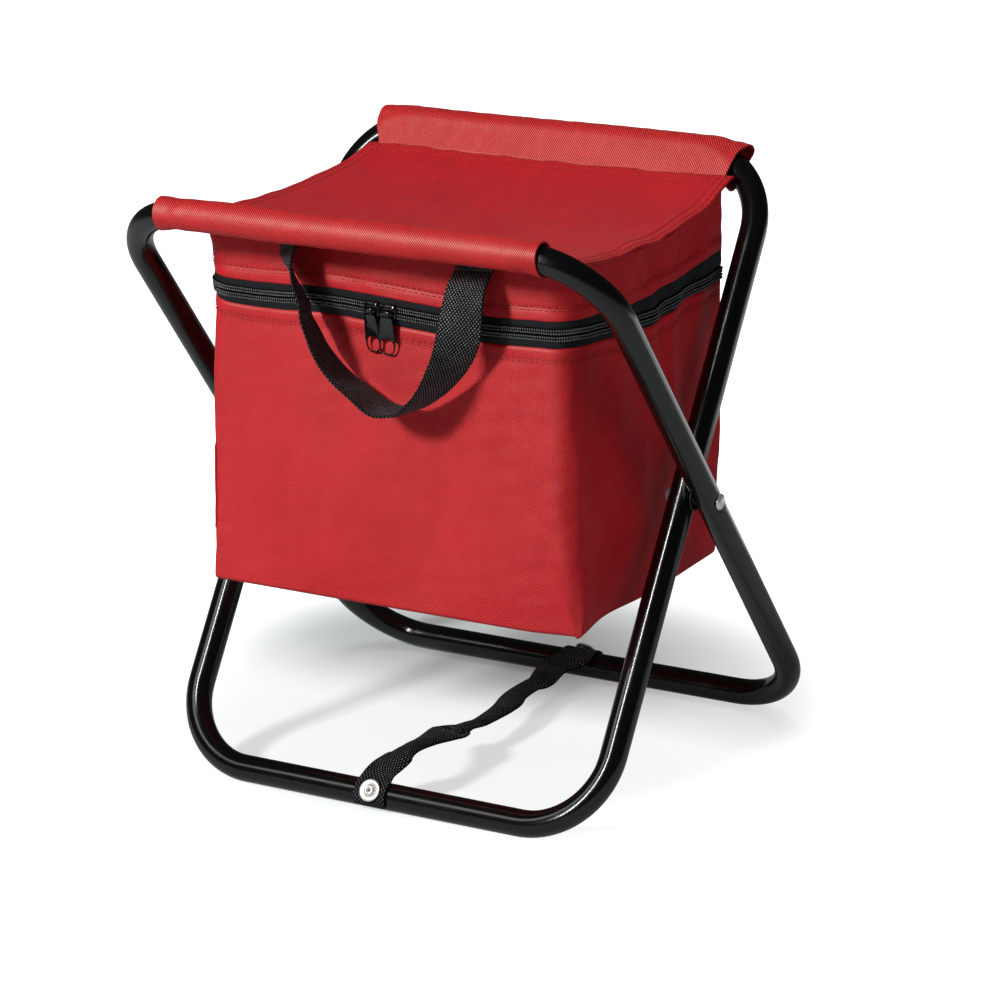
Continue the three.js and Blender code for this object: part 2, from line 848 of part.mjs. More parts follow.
function spreaderStrap() {
  const strap = solid(acrossWidth(strapOutline(), -strapWidth / 2, strapWidth / 2));
  const holeRadius = strapShankDiameter / 2 + runningGap;
  return geometryOf(
    [-1, 1].reduce(
      (body, end) => body.subtract(solid(strapHole(end, holeRadius, boreRadius, washerSeat + cutOverrun))),
      strap,
    ),
  );
}

function strapWasher(end) {
  const profile = ringProfile(
    strapShankDiameter / 2 + runningGap,
    strapWasherDiameter / 2,
    washerSeat,
    washerSeat + strapWasherThickness,
  );
  return turnedAlong(profile, strapRailAt(end), strapRivetAxis(end));
}

// A blind rivet: domed head with a hollow, a shank, and a tail spread inside the tube
function strapRivet(end) {
  const seat = washerSeat + strapWasherThickness + washerGap;
  const tail = Math.sqrt((boreRadius * Math.cos(Math.PI / boreSides)) ** 2 - (strapTailDiameter / 2) ** 2) - runningGap;
  const shank = strapShankDiameter / 2;
  const profile = [
    [0, tail - strapTailLength],
    [strapTailDiameter / 2, tail - strapTailLength],
    [strapTailDiameter / 2, tail],
    [shank, tail],
    [shank, seat],
    [strapHeadDiameter / 2, seat],
    [strapHeadDiameter / 2, seat + strapHeadHeight / 3],
    [strapHeadDiameter / 3, seat + strapHeadHeight],
    [strapHeadHole / 2, seat + strapHeadHeight],
    [strapHeadHole / 2, seat],
    [0, seat],
  ].map(([radius, height]) => new THREE.Vector2(radius, height));
  return turnedAlong(profile, strapRailAt(end), strapRivetAxis(end));
}

// Assembly: frames
const frames = new THREE.Group();
group.add(frames);
const strapShankHole = strapShankDiameter / 2 + runningGap;
const railHole = (end) => strapHole(end, strapShankHole, 0, tubeRadius + cutOverrun);
addPiece(frames, "inner_frame_tube", loopTube(innerLoopWidth, 1, [...pivotHoles(), railHole(-1)]), blackPaint());
addPiece(frames, "outer_frame_tube", loopTube(outerLoopWidth, -1, [...pivotHoles(), railHole(1)]), blackPaint());
for (const [name, side] of [
  ["left", -1],
  ["right", 1],
]) {
  addPiece(frames, `pivot_rivet_${name}`, pivotRivet(side), bareSteel());
  addPiece(frames, `pivot_washer_${name}`, pivotWasher(side), blackNylon());
}

// Assembly: spreader strap
const strapGroup = new THREE.Group();
group.add(strapGroup);
addPiece(strapGroup, "spreader_strap", spreaderStrap(), blackWebbing());
for (const [name, end] of [
  ["front", -1],
  ["rear", 1],
]) {
  addPiece(strapGroup, `strap_rivet_${name}`, strapRivet(end), bareSteel());
  addPiece(strapGroup, `strap_washer_${name}`, strapWasher(end), bareSteel());
}

// Assembly: seat sling
const seat = new THREE.Group();
group.add(seat);
const rearLegDirections = [0, 1 / 2, 1].map((share) => degrees((foldAngle / 2) * share) - loopTilt);
addPiece(seat, "front_sleeve", sleeve(frontRailY, [loopTilt], mouthDrop(outerLoopWidth), frontTail), redFabric());
addPiece(seat, "rear_sleeve", sleeve(rearRailY, rearLegDirections, mouthDrop(innerLoopWidth), rearTail), redFabric());
addPiece(seat, "seat_panel", seatPanel(), redFabric());

// Assembly: lid under the seat
const lid = new THREE.Group();
group.add(lid);
addPiece(lid, "lid_band", lidBand(), redFabric());
addPiece(lid, "lid_foam", lidTray(foamInset, foamThickness, layerGap), whiteFoam());
addPiece(lid, "lid_lining", lidTray(liningInset, liningThickness, 2 * layerGap + foamThickness), foilLining());

// Assembly: bag below the zipper
const bag = new THREE.Group();
group.add(bag);
addPiece(bag, "bag_shell", bagShell(), redFabric());
addPiece(bag, "bag_foam", bagTray(foamInset, foamThickness), whiteFoam());
addPiece(bag, "bag_lining", bagTray(liningInset, liningThickness), foilLining());

// Assembly: zipper
const zipper = new THREE.Group();
group.add(zipper);
const tapeEdge = tapeInset + tapeThickness;
const upperTape = zipRing(tapeInset, tapeEdge, lidSplit, zipTop - layerGap);
const lowerTape = zipRing(tapeInset, tapeEdge, zipBottom + layerGap, bagSplit);
addPiece(zipper, "zipper_tape_upper", upperTape, blackWebbing());
addPiece(zipper, "zipper_tape_lower", lowerTape, blackWebbing());
const upperCoil = zipRing(coilInset - coilDepth, coilInset, lidSplit, lidSplit + coilHeight);
const lowerCoil = zipRing(coilInset - coilDepth, coilInset, bagSplit - coilHeight, bagSplit);
addPiece(zipper, "zipper_coil_upper", upperCoil, blackNylon());
addPiece(zipper, "zipper_coil_lower", lowerCoil, blackNylon());
for (const [name, side] of [
  ["left", -1],
  ["right", 1],
]) {
  const slider = new THREE.Group();
  slider.position.set(zipMeet + side * (sliderLength / 2 + runningGap), 0, zipHeight);
  zipper.add(slider);
  addPiece(slider, `zipper_slider_${name}`, zipSlider(), blackZinc());
  addPiece(slider, `zipper_pull_${name}`, zipPull(), blackZinc());
}

// Assembly: carry handle
const handle = new THREE.Group();
group.add(handle);
addPiece(handle, "carry_handle", carryHandle(), blackWebbing());
addPiece(handle, "handle_end_left", handleTab(-1), blackWebbing());
addPiece(handle, "handle_end_right", handleTab(1), blackWebbing());

export default group;
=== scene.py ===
"""Looks of a folding cooler stool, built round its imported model.

Lengths are in metres. X runs across the width, the stool's front is at -Y, and Z is up from the floor.
"""

from __future__ import annotations

import json
import logging
import math
from dataclasses import dataclass, field
from enum import Enum
from typing import Any, Sequence

import bpy
import numpy as np
from mathutils import Matrix, Vector

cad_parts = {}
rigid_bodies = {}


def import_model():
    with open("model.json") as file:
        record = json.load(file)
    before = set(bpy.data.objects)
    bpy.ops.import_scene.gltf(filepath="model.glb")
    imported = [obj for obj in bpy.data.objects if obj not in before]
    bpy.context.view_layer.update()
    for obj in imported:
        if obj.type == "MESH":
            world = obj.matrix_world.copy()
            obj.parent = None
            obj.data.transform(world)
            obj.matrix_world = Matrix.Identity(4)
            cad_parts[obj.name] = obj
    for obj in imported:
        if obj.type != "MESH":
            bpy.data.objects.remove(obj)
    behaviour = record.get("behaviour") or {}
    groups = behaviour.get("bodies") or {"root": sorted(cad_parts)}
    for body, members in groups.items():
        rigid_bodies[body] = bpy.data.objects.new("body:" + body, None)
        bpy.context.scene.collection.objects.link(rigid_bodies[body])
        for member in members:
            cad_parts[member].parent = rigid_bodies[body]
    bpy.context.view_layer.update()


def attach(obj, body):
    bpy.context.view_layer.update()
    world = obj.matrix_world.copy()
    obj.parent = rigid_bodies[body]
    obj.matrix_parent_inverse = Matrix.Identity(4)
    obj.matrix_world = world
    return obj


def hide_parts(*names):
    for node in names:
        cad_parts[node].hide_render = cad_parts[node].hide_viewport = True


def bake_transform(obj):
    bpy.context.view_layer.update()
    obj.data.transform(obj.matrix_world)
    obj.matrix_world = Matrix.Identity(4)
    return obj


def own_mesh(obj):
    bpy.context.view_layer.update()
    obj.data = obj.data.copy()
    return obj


Array = np.ndarray
Piece = bpy.types.Object
Colour = tuple[float, float, float, float]
Point = tuple[float, float, float]
Pair = tuple[float, float]
Knots = Sequence[Sequence[float]]
Columns = dict[str, Array]
LOG = logging.getLogger("stool")
CLOTH_THICKNESS = 0.0011
RAYS = ("Camera", "Transmission", "Glossy")
WHITE = (1.0, 1.0, 1.0, 1.0)


# Numbers and curves


def unit(vectors: Array) -> Array:
    """Scales the vectors on the last axis to length one."""
    return vectors / np.linalg.norm(vectors, axis=-1, keepdims=True)


def ease(value: Array | float, low: float, high: float) -> Array:
    """Rises smoothly from 0 at low to 1 at high: 3 t^2 - 2 t^3, with t the share covered, from 0 to 1."""
    t = np.clip((np.asarray(value, float) - low) / (high - low), 0.0, 1.0)
    return t * t * (3.0 - 2.0 * t)


def bell(value: Array | float, middle: float, width: float) -> Array:
    """A bell of height 1 round its middle: exp(-((value - middle) / width) ** 2)."""
    return np.exp(-(((np.asarray(value, float) - middle) / width) ** 2))


def ripple(points: Array, wavelength: float, seed: int, waves: int = 9) -> Array:
    """Smooth noise of about -1 to 1: a mean of cos(2 pi d . p / wavelength + phase), d random directions.

    Args:
        points: Points on the last axis.
        wavelength: Typical distance between crests.
        seed: Number that fixes the directions and phases.
        waves: How many cosines are summed.

    Returns:
        One value for each point.
    """
    rng = np.random.default_rng(seed)
    directions = unit(rng.normal(size=(waves, points.shape[-1]))) * rng.uniform(0.6, 1.5, (waves, 1))
    phases = rng.uniform(0.0, 2.0 * math.pi, waves)
    angles = points @ directions.T * (2.0 * math.pi / wavelength) + phases
    return np.cos(angles).sum(-1) * math.sqrt(2.0 / waves) * 0.6


def lengths_along(line: Array) -> Array:
    """Length of a polyline up to each of its points."""
    return np.concatenate([[0.0], np.cumsum(np.linalg.norm(np.diff(line, axis=0), axis=1))])


def resampled(line: Array, places: Array | int) -> Array:
    """Points at even or given shares of a polyline's length.

    Args:
        line: The polyline, one point for each row.
        places: How many points, or the shares of the length, from 0 to 1.

    Returns:
        The new points.
    """
    length = lengths_along(line)
    shares = np.linspace(0.0, 1.0, places) if isinstance(places, int) else places
    columns = [np.interp(shares * length[-1], length, column) for column in line.T]
    return np.stack(columns, axis=1)


def spline(knots: Knots, count: int) -> Array:
    """A Catmull-Rom curve through the knots, resampled to even lengths.

    Each span is ((-p0 + 3 p1 - 3 p2 + p3) t^3 + (2 p0 - 5 p1 + 4 p2 - p3) t^2 + (p2 - p0) t + 2 p1) / 2.

    Args:
        knots: The points to pass through.
        count: How many points come back.

    Returns:
        Points along the curve.
    """
    p = np.asarray(knots, float)
    p = np.vstack([2 * p[0] - p[1], p, 2 * p[-1] - p[-2]])
    t = np.linspace(0.0, 1.0, 24, endpoint=False)[None, :, None]
    a, b, c, d = (p[k : len(p) - 3 + k, None, :] for k in range(4))
    spans = ((-a + 3 * b - 3 * c + d) * t**3 + (2 * a - 5 * b + 4 * c - d) * t**2 + (c - a) * t + 2 * b) / 2
    return resampled(np.vstack([spans.reshape(-1, p.shape[1]), p[-2:-1]]), count)


def curve_at(knots: Knots, places: Array | float) -> Array:
    """Reads a smooth curve through knots of place and value; beyond its ends it keeps the last value."""
    line = spline(knots, 400)
    return np.interp(places, line[:, 0], line[:, 1])


def round_hull(circles: Array, count: int, start: float) -> Array:
    """The outline round some circles, from the support point c + r d of each direction d.

    Args:
        circles: Rows of y, z and radius.
        count: How many points come back.
        start: Direction, in radians, at which the outline starts.

    Returns:
        Points of y and z, anticlockwise.
    """
    angles = start + np.linspace(0.0, 2.0 * math.pi, 481)
    directions = np.stack([np.cos(angles), np.sin(angles)], axis=1)
    reach = directions @ circles[:, :2].T + circles[:, 2]
    best = circles[np.argmax(reach, axis=1)]
    return resampled(best[:, :2] + directions * best[:, 2:], count + 1)[:-1]


def sweep(path: Array, side: Array, face: Array, outline: Array) -> Array:
    """Carries a flat outline along a path: each row is path + side * outline's x + face * outline's y."""
    return path[:, None] + side[:, None] * outline[None, :, :1] + face[:, None] * outline[None, :, 1:]


def directions_along(path: Array) -> Array:
    """Unit directions along a polyline."""
    return unit(np.gradient(path, axis=0))


# Meshes


def placed(name: str, mesh: bpy.types.Mesh) -> Piece:
    """Puts a mesh into the scene as an object.

    Args:
        name: The object's name.
        mesh: Its mesh.

    Returns:
        The new object.
    """
    piece = bpy.data.objects.new(name, mesh)
    bpy.context.scene.collection.objects.link(piece)
    return piece


@dataclass
class Grid:
    """A grid of points that becomes one mesh.

    Attributes:
        points: Rows by columns of points.
        cloth: Place on the flat material of each grid corner, in metres; wrapped columns have one more.
        wrap_rows: Whether the last row joins the first.
        wrap_columns: Whether the last column joins the first.
        caps: Whether the first and last rows are closed with a face.
        facing: Direction that the faces look to, or None for outwards.
    """

    points: Array
    cloth: Array | None = None
    wrap_rows: bool = False
    wrap_columns: bool = True
    caps: bool = False
    facing: Point | None = None

    def _corners(self) -> tuple[Array, Array]:
        """Vertex numbers and cloth places of every face's corners.

        Returns:
            Four of each for every face.
        """
        rows, columns = self.points.shape[:2]
        i = np.arange(rows if self.wrap_rows else rows - 1)[:, None]
        j = np.arange(columns if self.wrap_columns else columns - 1)[None, :]
        steps = ((0, 0), (0, 1), (1, 1), (1, 0))
        quads = np.stack([((i + a) % rows) * columns + (j + b) % columns for a, b in steps], axis=-1)
        cloth = self.cloth if self.cloth is not None else self._measured()
        places = np.stack([cloth[i + a, j + b] for a, b in steps], axis=2)
        return quads.reshape(-1, 4), places.reshape(-1, 4, 2)

    def _measured(self) -> Array:
        """Cloth places from the middle row's and middle column's lengths.

        Returns:
            Rows by columns of places, one more where they wrap.
        """
        rows, columns = self.points.shape[:2]
        across = self.points[rows // 2]
        down = self.points[:, columns // 2]
        across = np.vstack([across, across[:1]]) if self.wrap_columns else across
        down = np.vstack([down, down[:1]]) if self.wrap_rows else down
        u, v = np.meshgrid(lengths_along(across), lengths_along(down))
        return np.stack([u, v], axis=-1)

    def build(self, name: str) -> Piece:
        """Makes the mesh object.

        Args:
            name: The object's name.

        Returns:
            The new object, smooth shaded, with its cloth places as a UV map.
        """
        vertices = self.points.reshape(-1, 3)
        quads, places = self._corners()
        corners = vertices[quads]
        normals = np.cross(corners[:, 2] - corners[:, 0], corners[:, 3] - corners[:, 1])
        if self.facing is None:
            sign = float((normals * (corners.mean(axis=1) - vertices.mean(axis=0))).sum())
        else:
            sign = float((normals @ np.array(self.facing)).sum())
        faces = quads.tolist()
        uv = places
        columns = self.points.shape[1]
        ends = []
        if self.caps:
            ends = [list(range(columns))[::-1], list(range(len(vertices) - columns, len(vertices)))]
        if sign < 0:
            faces = quads[:, ::-1].tolist()
            uv = places[:, ::-1]
            ends = [end[::-1] for end in ends]
        mesh = bpy.data.meshes.new(name)
        mesh.from_pydata(vertices.tolist(), [], faces + ends)
        layer = mesh.uv_layers.new(name="cloth")
        flat = np.zeros((len(mesh.loops), 2), np.float32)
        flat[: uv.size // 2] = uv.reshape(-1, 2)
        layer.data.foreach_set("uv", flat.ravel())
        mesh.polygons.foreach_set("use_smooth", [True] * len(mesh.polygons))
        mesh.update()
        return placed(name, mesh)


def turned(profile: Knots, origin: Point, axis: Point, name: str, sides: int = 48) -> Piece:
    """A profile turned round an axis.

    Args:
        profile: Radius and height along the axis; a closed ring of them makes a ring.
        origin: Where height 0 is.
        axis: Direction of the axis.
        name: The object's name.
        sides: Faces round the axis.

    Returns:
        The new object.
    """
    line = np.array(profile, float)
    ring = bool(np.allclose(line[0], line[-1]))
    line = line[:-1] if ring else line
    direction = unit(np.array(axis, float))
    helper = np.array([1.0, 0.0, 0.0]) if abs(direction[0]) < 0.9 else np.array([0.0, 0.0, 1.0])
    first = unit(np.cross(direction, helper))
    second = np.cross(direction, first)
    angles = np.linspace(0.0, 2.0 * math.pi, sides, endpoint=False)
    around = np.cos(angles)[:, None] * first + np.sin(angles)[:, None] * second
    points = np.array(origin) + line[:, None, :1] * around + line[:, None, 1:] * direction
    return Grid(points, wrap_rows=ring, caps=not ring).build(name)


def thickened(piece: Piece, thickness: float) -> None:
    """Gives a sheet its thickness, inwards from its surface.

    Args:
        piece: The sheet.
        thickness: How thick it gets.
    """
    solid = piece.modifiers.new("thickness", "SOLIDIFY")
    solid.thickness = thickness
    solid.offset = -1.0


def settled(piece: Piece) -> None:
    """Applies a piece's modifiers."""
    with bpy.context.temp_override(object=piece, active_object=piece, selected_objects=[piece]):
        for modifier in list(piece.modifiers):
            bpy.ops.object.modifier_apply(modifier=modifier.name)


def softened(piece: Piece, width: float) -> None:
    """Rounds a piece's sharp edges over a width.

    Args:
        piece: The piece.
        width: Width of the rounding.
    """
    bevel = piece.modifiers.new("edges", "BEVEL")
    bevel.width = width
    bevel.segments = 2
    bevel.limit_method = "ANGLE"
    bevel.angle_limit = math.radians(35)


# Shader graphs


def srgb(red: float, green: float, blue: float) -> Colour:
    """A screen colour as the linear colour that shaders take.

    Args:
        red: Red from 0 to 1.
        green: Green from 0 to 1.
        blue: Blue from 0 to 1.

    Returns:
        Linear red, green, blue and an alpha of 1.
    """
    linear = [c / 12.92 if c <= 0.04045 else ((c + 0.055) / 1.055) ** 2.4 for c in (red, green, blue)]
    return (*linear, 1.0)


class Value:
    """A number in a shader graph that can be computed with."""

    def __init__(self, graph: Graph, socket: Any) -> None:
        """Holds a socket of a graph."""
        self.graph = graph
        self.socket = socket

    def _math(self, operation: str, *others: Any) -> Value:
        """Adds a Math node that takes this value and the others.

        Args:
            operation: The node's operation.
            *others: Its other inputs.

        Returns:
            The result.
        """
        node = self.graph.node("ShaderNodeMath", {"operation": operation})
        for slot, value in enumerate((self, *others)):
            self.graph.feed(node.inputs[slot], value)
        return Value(self.graph, node.outputs[0])

    def __add__(self, other: Any) -> Value:
        """This value plus another."""
        return self._math("ADD", other)

    __radd__ = __add__

    def __sub__(self, other: Any) -> Value:
        """This value less another."""
        return self._math("SUBTRACT", other)

    def __rsub__(self, other: Any) -> Value:
        """Another value less this one."""
        return (self * -1.0)._math("ADD", other)

    def __mul__(self, other: Any) -> Value:
        """This value times another."""
        return self._math("MULTIPLY", other)

    __rmul__ = __mul__

    def __truediv__(self, other: Any) -> Value:
        """This value divided by another."""
        return self._math("DIVIDE", other)

    def __pow__(self, other: Any) -> Value:
        """This value to the power of another."""
        return self._math("POWER", other)

    def sine(self) -> Value:
        """The sine of this value."""
        return self._math("SINE")

    def larger(self, other: Any) -> Value:
        """The larger of this value and another."""
        return self._math("MAXIMUM", other)

    def eased(self, low: float, high: float) -> Value:
        """Rises smoothly from 0 at low to 1 at high.

        Args:
            low: Where it starts to rise.
            high: Where it ends.

        Returns:
            The share.
        """
        node = self.graph.node("ShaderNodeMapRange", {"interpolation_type": "SMOOTHSTEP"})
        for slot, value in zip(("Value", "From Min", "From Max"), (self, low, high)):
            self.graph.feed(node.inputs[slot], value)
        return Value(self.graph, node.outputs[0])


class Graph:
    """The node graph of one material or of the world."""

    def __init__(self, owner: bpy.types.Material | bpy.types.World) -> None:
        """Clears the owner's nodes and starts a new graph.

        Args:
            owner: The material or world.
        """
        owner.use_nodes = True
        self.owner = owner
        self.tree = owner.node_tree
        self.tree.nodes.clear()

    def node(
        self, kind: str, settings: dict[str, Any] | None = None, inputs: dict[str, Any] | None = None
    ) -> Any:
        """Adds a node.

        Args:
            kind: The node's type name.
            settings: Properties to set on it.
            inputs: Values or sockets for its inputs, by input name.

        Returns:
            The new node.
        """
        made = self.tree.nodes.new(kind)
        for key, value in (settings or {}).items():
            setattr(made, key, value)
        for key, value in (inputs or {}).items():
            self.feed(made.inputs[key], value)
        return made

    def feed(self, slot: Any, value: Any) -> None:
        """Gives an input a constant, or links a value or socket to it."""
        if isinstance(value, Value):
            self.tree.links.new(value.socket, slot)
        elif isinstance(value, bpy.types.NodeSocket):
            self.tree.links.new(value, slot)
        else:
            slot.default_value = value

    def cloth(self) -> tuple[Value, Value, Any]:
        """The place on the flat material.

        Returns:
            Across, along, and both as one vector socket.
        """
        place = self.node("ShaderNodeUVMap", {"uv_map": "cloth"}).outputs[0]
        split = self.node("ShaderNodeSeparateXYZ", inputs={"Vector": place})
        return Value(self, split.outputs[0]), Value(self, split.outputs[1]), place

    def place(self) -> Any:
        """The place on the object, in metres, as a vector socket."""
        return self.node("ShaderNodeTexCoord").outputs["Object"]

    def stretched(self, vector: Any, scale: Point) -> Any:
        """A vector multiplied axis by axis."""
        inputs = {"Vector": vector, "Scale": scale}
        return self.node("ShaderNodeMapping", inputs=inputs).outputs[0]

    def noise(self, vector: Any, scale: float, detail: float = 2.0) -> Value:
        """Noise of 0 to 1 at a scale in cells for each metre."""
        inputs = {"Vector": vector, "Scale": scale, "Detail": detail}
        return Value(self, self.node("ShaderNodeTexNoise", inputs=inputs).outputs[0])

    def blend(self, share: Value | float, low: Any, high: Any) -> Any:
        """A colour between two colours.

        Args:
            share: 0 for the low colour, 1 for the high one.
            low: One colour.
            high: The other.

        Returns:
            The mixed colour's socket.
        """
        mix = self.node("ShaderNodeMix", {"data_type": "RGBA"})
        self.feed(mix.inputs[0], share)
        self.feed(mix.inputs[6], low)
        self.feed(mix.inputs[7], high)
        return mix.outputs[2]

    def bump(self, height: Value, distance: float, strength: float = 1.0) -> Any:
        """A surface direction from a height of about 0 to 1."""
        inputs = {"Height": height, "Distance": distance, "Strength": strength}
        return self.node("ShaderNodeBump", inputs=inputs).outputs[0]

    def surface(self, **inputs: Any) -> bpy.types.Material:
        """Ends the graph in a Principled shader.

        Args:
            **inputs: Inputs by name, with _ in place of a space.

        Returns:
            The material.
        """
        named = {key.replace("_", " "): value for key, value in inputs.items()}
        shader = self.node("ShaderNodeBsdfPrincipled", inputs=named)
        self.node("ShaderNodeOutputMaterial", inputs={"Surface": shader.outputs[0]})
        return self.owner


# Finishes


@dataclass(frozen=True)
class Finish:
    """What every finish has.

    Attributes:
        slot: The record's material slot it stands for.
    """

    name: str
    slot: str

    def graph(self) -> Graph:
        """A new, empty material graph."""
        return Graph(bpy.data.materials.new(self.name))

    def make(self) -> bpy.types.Material:
        """Builds the material."""
        raise NotImplementedError


@dataclass(frozen=True)
class Polyester(Finish):
    """Coarse coloured cloth whose threads cross in a slant.

    Attributes:
        lit: Painted highlight on the raised threads.
        deep: Painted shade between the threads.
        pitch: Distance between slanted rows, along the cloth.
        lean: 1 where the rows rise to the right, -1 where they fall.
        mottle: How much the colour drifts over the cloth.
    """

    lit: Colour = srgb(0.90, 0.13, 0.16)
    deep: Colour = srgb(0.52, 0.0, 0.08)
    pitch: float = 0.00155
    lean: float = 1.0
    mottle: float = 0.22

    def make(self) -> bpy.types.Material:
        """Builds the cloth from two crossing waves, thread noise, slow mottling and shiny threads; its colour
        runs from painted shade between the threads to painted highlight on their tops, with a random drift of
        tone from the mottling.

        Returns:
            The material.
        """
        g = self.graph()
        u, v, place = g.cloth()
        turn = 2.0 * math.pi / self.pitch
        drift = g.noise(place, 190.0, 1.0) * 2.2
        slant = ((u - v * self.lean) * turn + drift).sine()
        cross = ((u + v * self.lean) * (turn * 0.94) - drift).sine()
        fibre = g.noise(place, 1700.0, 1.0)
        patch = g.noise(place, 200.0, 2.0).eased(0.30, 0.66)
        weave = slant * (patch * 0.26 + 0.30) + cross * (0.16 - patch * 0.06) + 0.5
        height = weave + (fibre - 0.5) * 0.5
        broad = g.noise(place, 26.0, 3.0) - 0.5
        broad = broad + (g.noise(g.stretched(place, (1.0, 0.35, 1.0)), 95.0, 2.0) - 0.5) * 0.8
        # tone: painted highlight and painted shade by thread height, plus a random drift in the cloth's tone
        tone = (height + broad * self.mottle).eased(0.05, 0.95)
        return g.surface(
            Base_Color=g.blend(tone, self.deep, self.lit),
            Roughness=0.66 - height * 0.12,
            Normal=g.bump(height, 0.0003, 0.6),
            Coat_Weight=tone * 0.55,
            Coat_Roughness=0.52,
            Sheen_Weight=0.02,
            Sheen_Roughness=0.35,
            Sheen_Tint=srgb(0.95, 0.5, 0.5),
            Specular_IOR_Level=0.12,
        )


@dataclass(frozen=True)
class Webbing(Finish):
    """Ribbed black webbing: short floats in a brick pattern, their tops painted with light glints.

    Attributes:
        thread: Painted glint on the raised threads' tops.
        gap: Colour between them.
        across: Distance between two floats of one row.
        along: Distance over which the rows repeat.
        shine: How strongly the threads reflect.
        half: Half the band's width; the threads darken round its edge.
    """

    thread: Colour = srgb(0.62, 0.63, 0.64)
    gap: Colour = srgb(0.01, 0.01, 0.012)
    across: float = 0.0020
    along: float = 0.0026
    shine: float = 0.15
    half: float = 0.0125

    def make(self) -> bpy.types.Material:
        """Builds the webbing from crossed waves with slight thread noise; the tops of the floats are painted
        as light glints, brighter in some patches than in others.

        Returns:
            The material.
        """
        g = self.graph()
        u, v, place = g.cloth()
        wander = (g.noise(place, 300.0, 1.0) - 0.5) * 1.4
        rib = (u * (2.0 * math.pi / self.across) + wander).sine()
        pick = (v * (2.0 * math.pi / self.along)).sine()
        fibre = g.noise(g.stretched(place, (0.45, 1.0, 1.0)), 2600.0, 1.0)
        height = rib * pick * 0.5 + 0.5
        rim = (u * u).eased((self.half - 0.0012) ** 2, (self.half - 0.0003) ** 2)
        # tone marks where the painted glints sit: on the raised floats, fading at the band's edges
        tone = (height + (fibre - 0.5) * 0.6).eased(0.66, 0.92) * (1.0 - rim * 0.8)
        # Patches where the painted glints on the floats are brighter or dimmer.
        glint_patches = g.noise(place, 70.0, 2.0).eased(0.3, 0.75)
        return g.surface(
            Base_Color=g.blend(tone * (glint_patches * 0.5 + 0.5), self.gap, self.thread),
            Roughness=0.7 - tone * 0.15,
            Normal=g.bump(height, 0.0004, 0.8),
            Sheen_Weight=0.03,
            Sheen_Roughness=0.4,
            Specular_IOR_Level=self.shine,
        )


@dataclass(frozen=True)
class ZipTape(Finish):
    """Close-knit zipper tape with fine cords along it."""

    thread: Colour = srgb(0.20, 0.22, 0.235)
    gap: Colour = srgb(0.008, 0.010, 0.013)

    def make(self) -> bpy.types.Material:
        """Builds the tape from fine crossed rows and knit noise.

        Returns:
            The material.
        """
        g = self.graph()
        u, v, place = g.cloth()
        row = (v * (2.0 * math.pi / 0.0013)).sine()
        knit = (u * (2.0 * math.pi / 0.0016)).sine()
        height = row * knit * 0.4 + 0.5
        fibre = g.noise(place, 1500.0, 2.0)
        return g.surface(
            Base_Color=g.blend((height * 0.7 + fibre * 0.7).eased(0.5, 1.05), self.gap, self.thread),
            Roughness=0.75,
            Normal=g.bump(height, 0.0002, 0.7),
            Specular_IOR_Level=0.08,
        )


@dataclass(frozen=True)
class Chain(Finish):
    """Moulded zipper coil, with painted highlights on the tops of its teeth.

    Attributes:
        colour: Colour between the teeth.
        tooth_glint: Painted highlight on their tops.
        tooth: Distance from tooth to tooth, along the cloth places.
        height: Height of the coil.
    """

    colour: Colour = srgb(0.01, 0.01, 0.012)
    tooth_glint: Colour = srgb(0.60, 0.61, 0.62)
    tooth: float = 0.00145
    height: float = 0.0036

    def make(self) -> bpy.types.Material:
        """Builds the coil: two rows of painted highlights on the tooth tops from squared waves, broken up by
        scratch noise that also roughens and bumps the surface.

        Returns:
            The material.
        """
        g = self.graph()
        u, v, _ = g.cloth()
        along = (v * (math.pi / self.tooth)).sine() ** 2.0
        across = (u * (2.0 * math.pi / self.height)).sine() ** 2.0
        # top: where the painted highlights on the tooth tops sit
        top = (along * across).eased(0.40, 0.95)
        scratch = g.noise(g.place(), 2200.0, 2.0)
        return g.surface(
            Base_Color=g.blend(top * scratch.eased(0.2, 0.6), self.colour, self.tooth_glint),
            Roughness=scratch * 0.1 + 0.3,
            Normal=g.bump(scratch, 0.00004, 0.5),
            Specular_IOR_Level=0.3,
        )


@dataclass(frozen=True)
class GlossPaint(Finish):
    """Black powder coat with a faint orange peel and dust specks.

    Attributes:
        colour: The coat's colour.
        smooth: Roughness where it is cleanest.
    """

    colour: Colour = srgb(0.035, 0.035, 0.037)
    smooth: float = 0.15

    def make(self) -> bpy.types.Material:
        """Builds the coat with peel in the bump and handling marks in the roughness.

        Returns:
            The material.
        """
        g = self.graph()
        place = g.place()
        peel = g.noise(place, 520.0, 2.0)
        marks = g.noise(place, 45.0, 3.0).eased(0.4, 0.75)
        specks = g.noise(place, 1500.0, 1.0).eased(0.72, 0.8)
        return g.surface(
            Base_Color=g.blend(specks * 0.15, self.colour, srgb(0.3, 0.3, 0.31)),
            Roughness=marks * 0.06 + specks * 0.15 + self.smooth,
            Normal=g.bump(peel, 0.00003, 0.5),
            Specular_IOR_Level=0.5,
        )


@dataclass(frozen=True)
class Enamel(Finish):
    """Gloss black enamel on cast zinc, with a few rubbed spots."""

    colour: Colour = srgb(0.03, 0.03, 0.033)
    rubbed: Colour = srgb(0.22, 0.22, 0.23)

    def make(self) -> bpy.types.Material:
        """Builds the enamel with rubbed spots and a soft waviness.

        Returns:
            The material.
        """
        g = self.graph()
        place = g.place()
        wear = g.noise(place, 900.0, 3.0).eased(0.62, 0.8)
        wave = g.noise(place, 420.0, 2.0)
        return g.surface(
            Base_Color=g.blend(wear * 0.4, self.colour, self.rubbed),
            Roughness=wear * 0.15 + 0.13,
            Normal=g.bump(wave, 0.0002, 0.5),
            Specular_IOR_Level=0.45,
        )


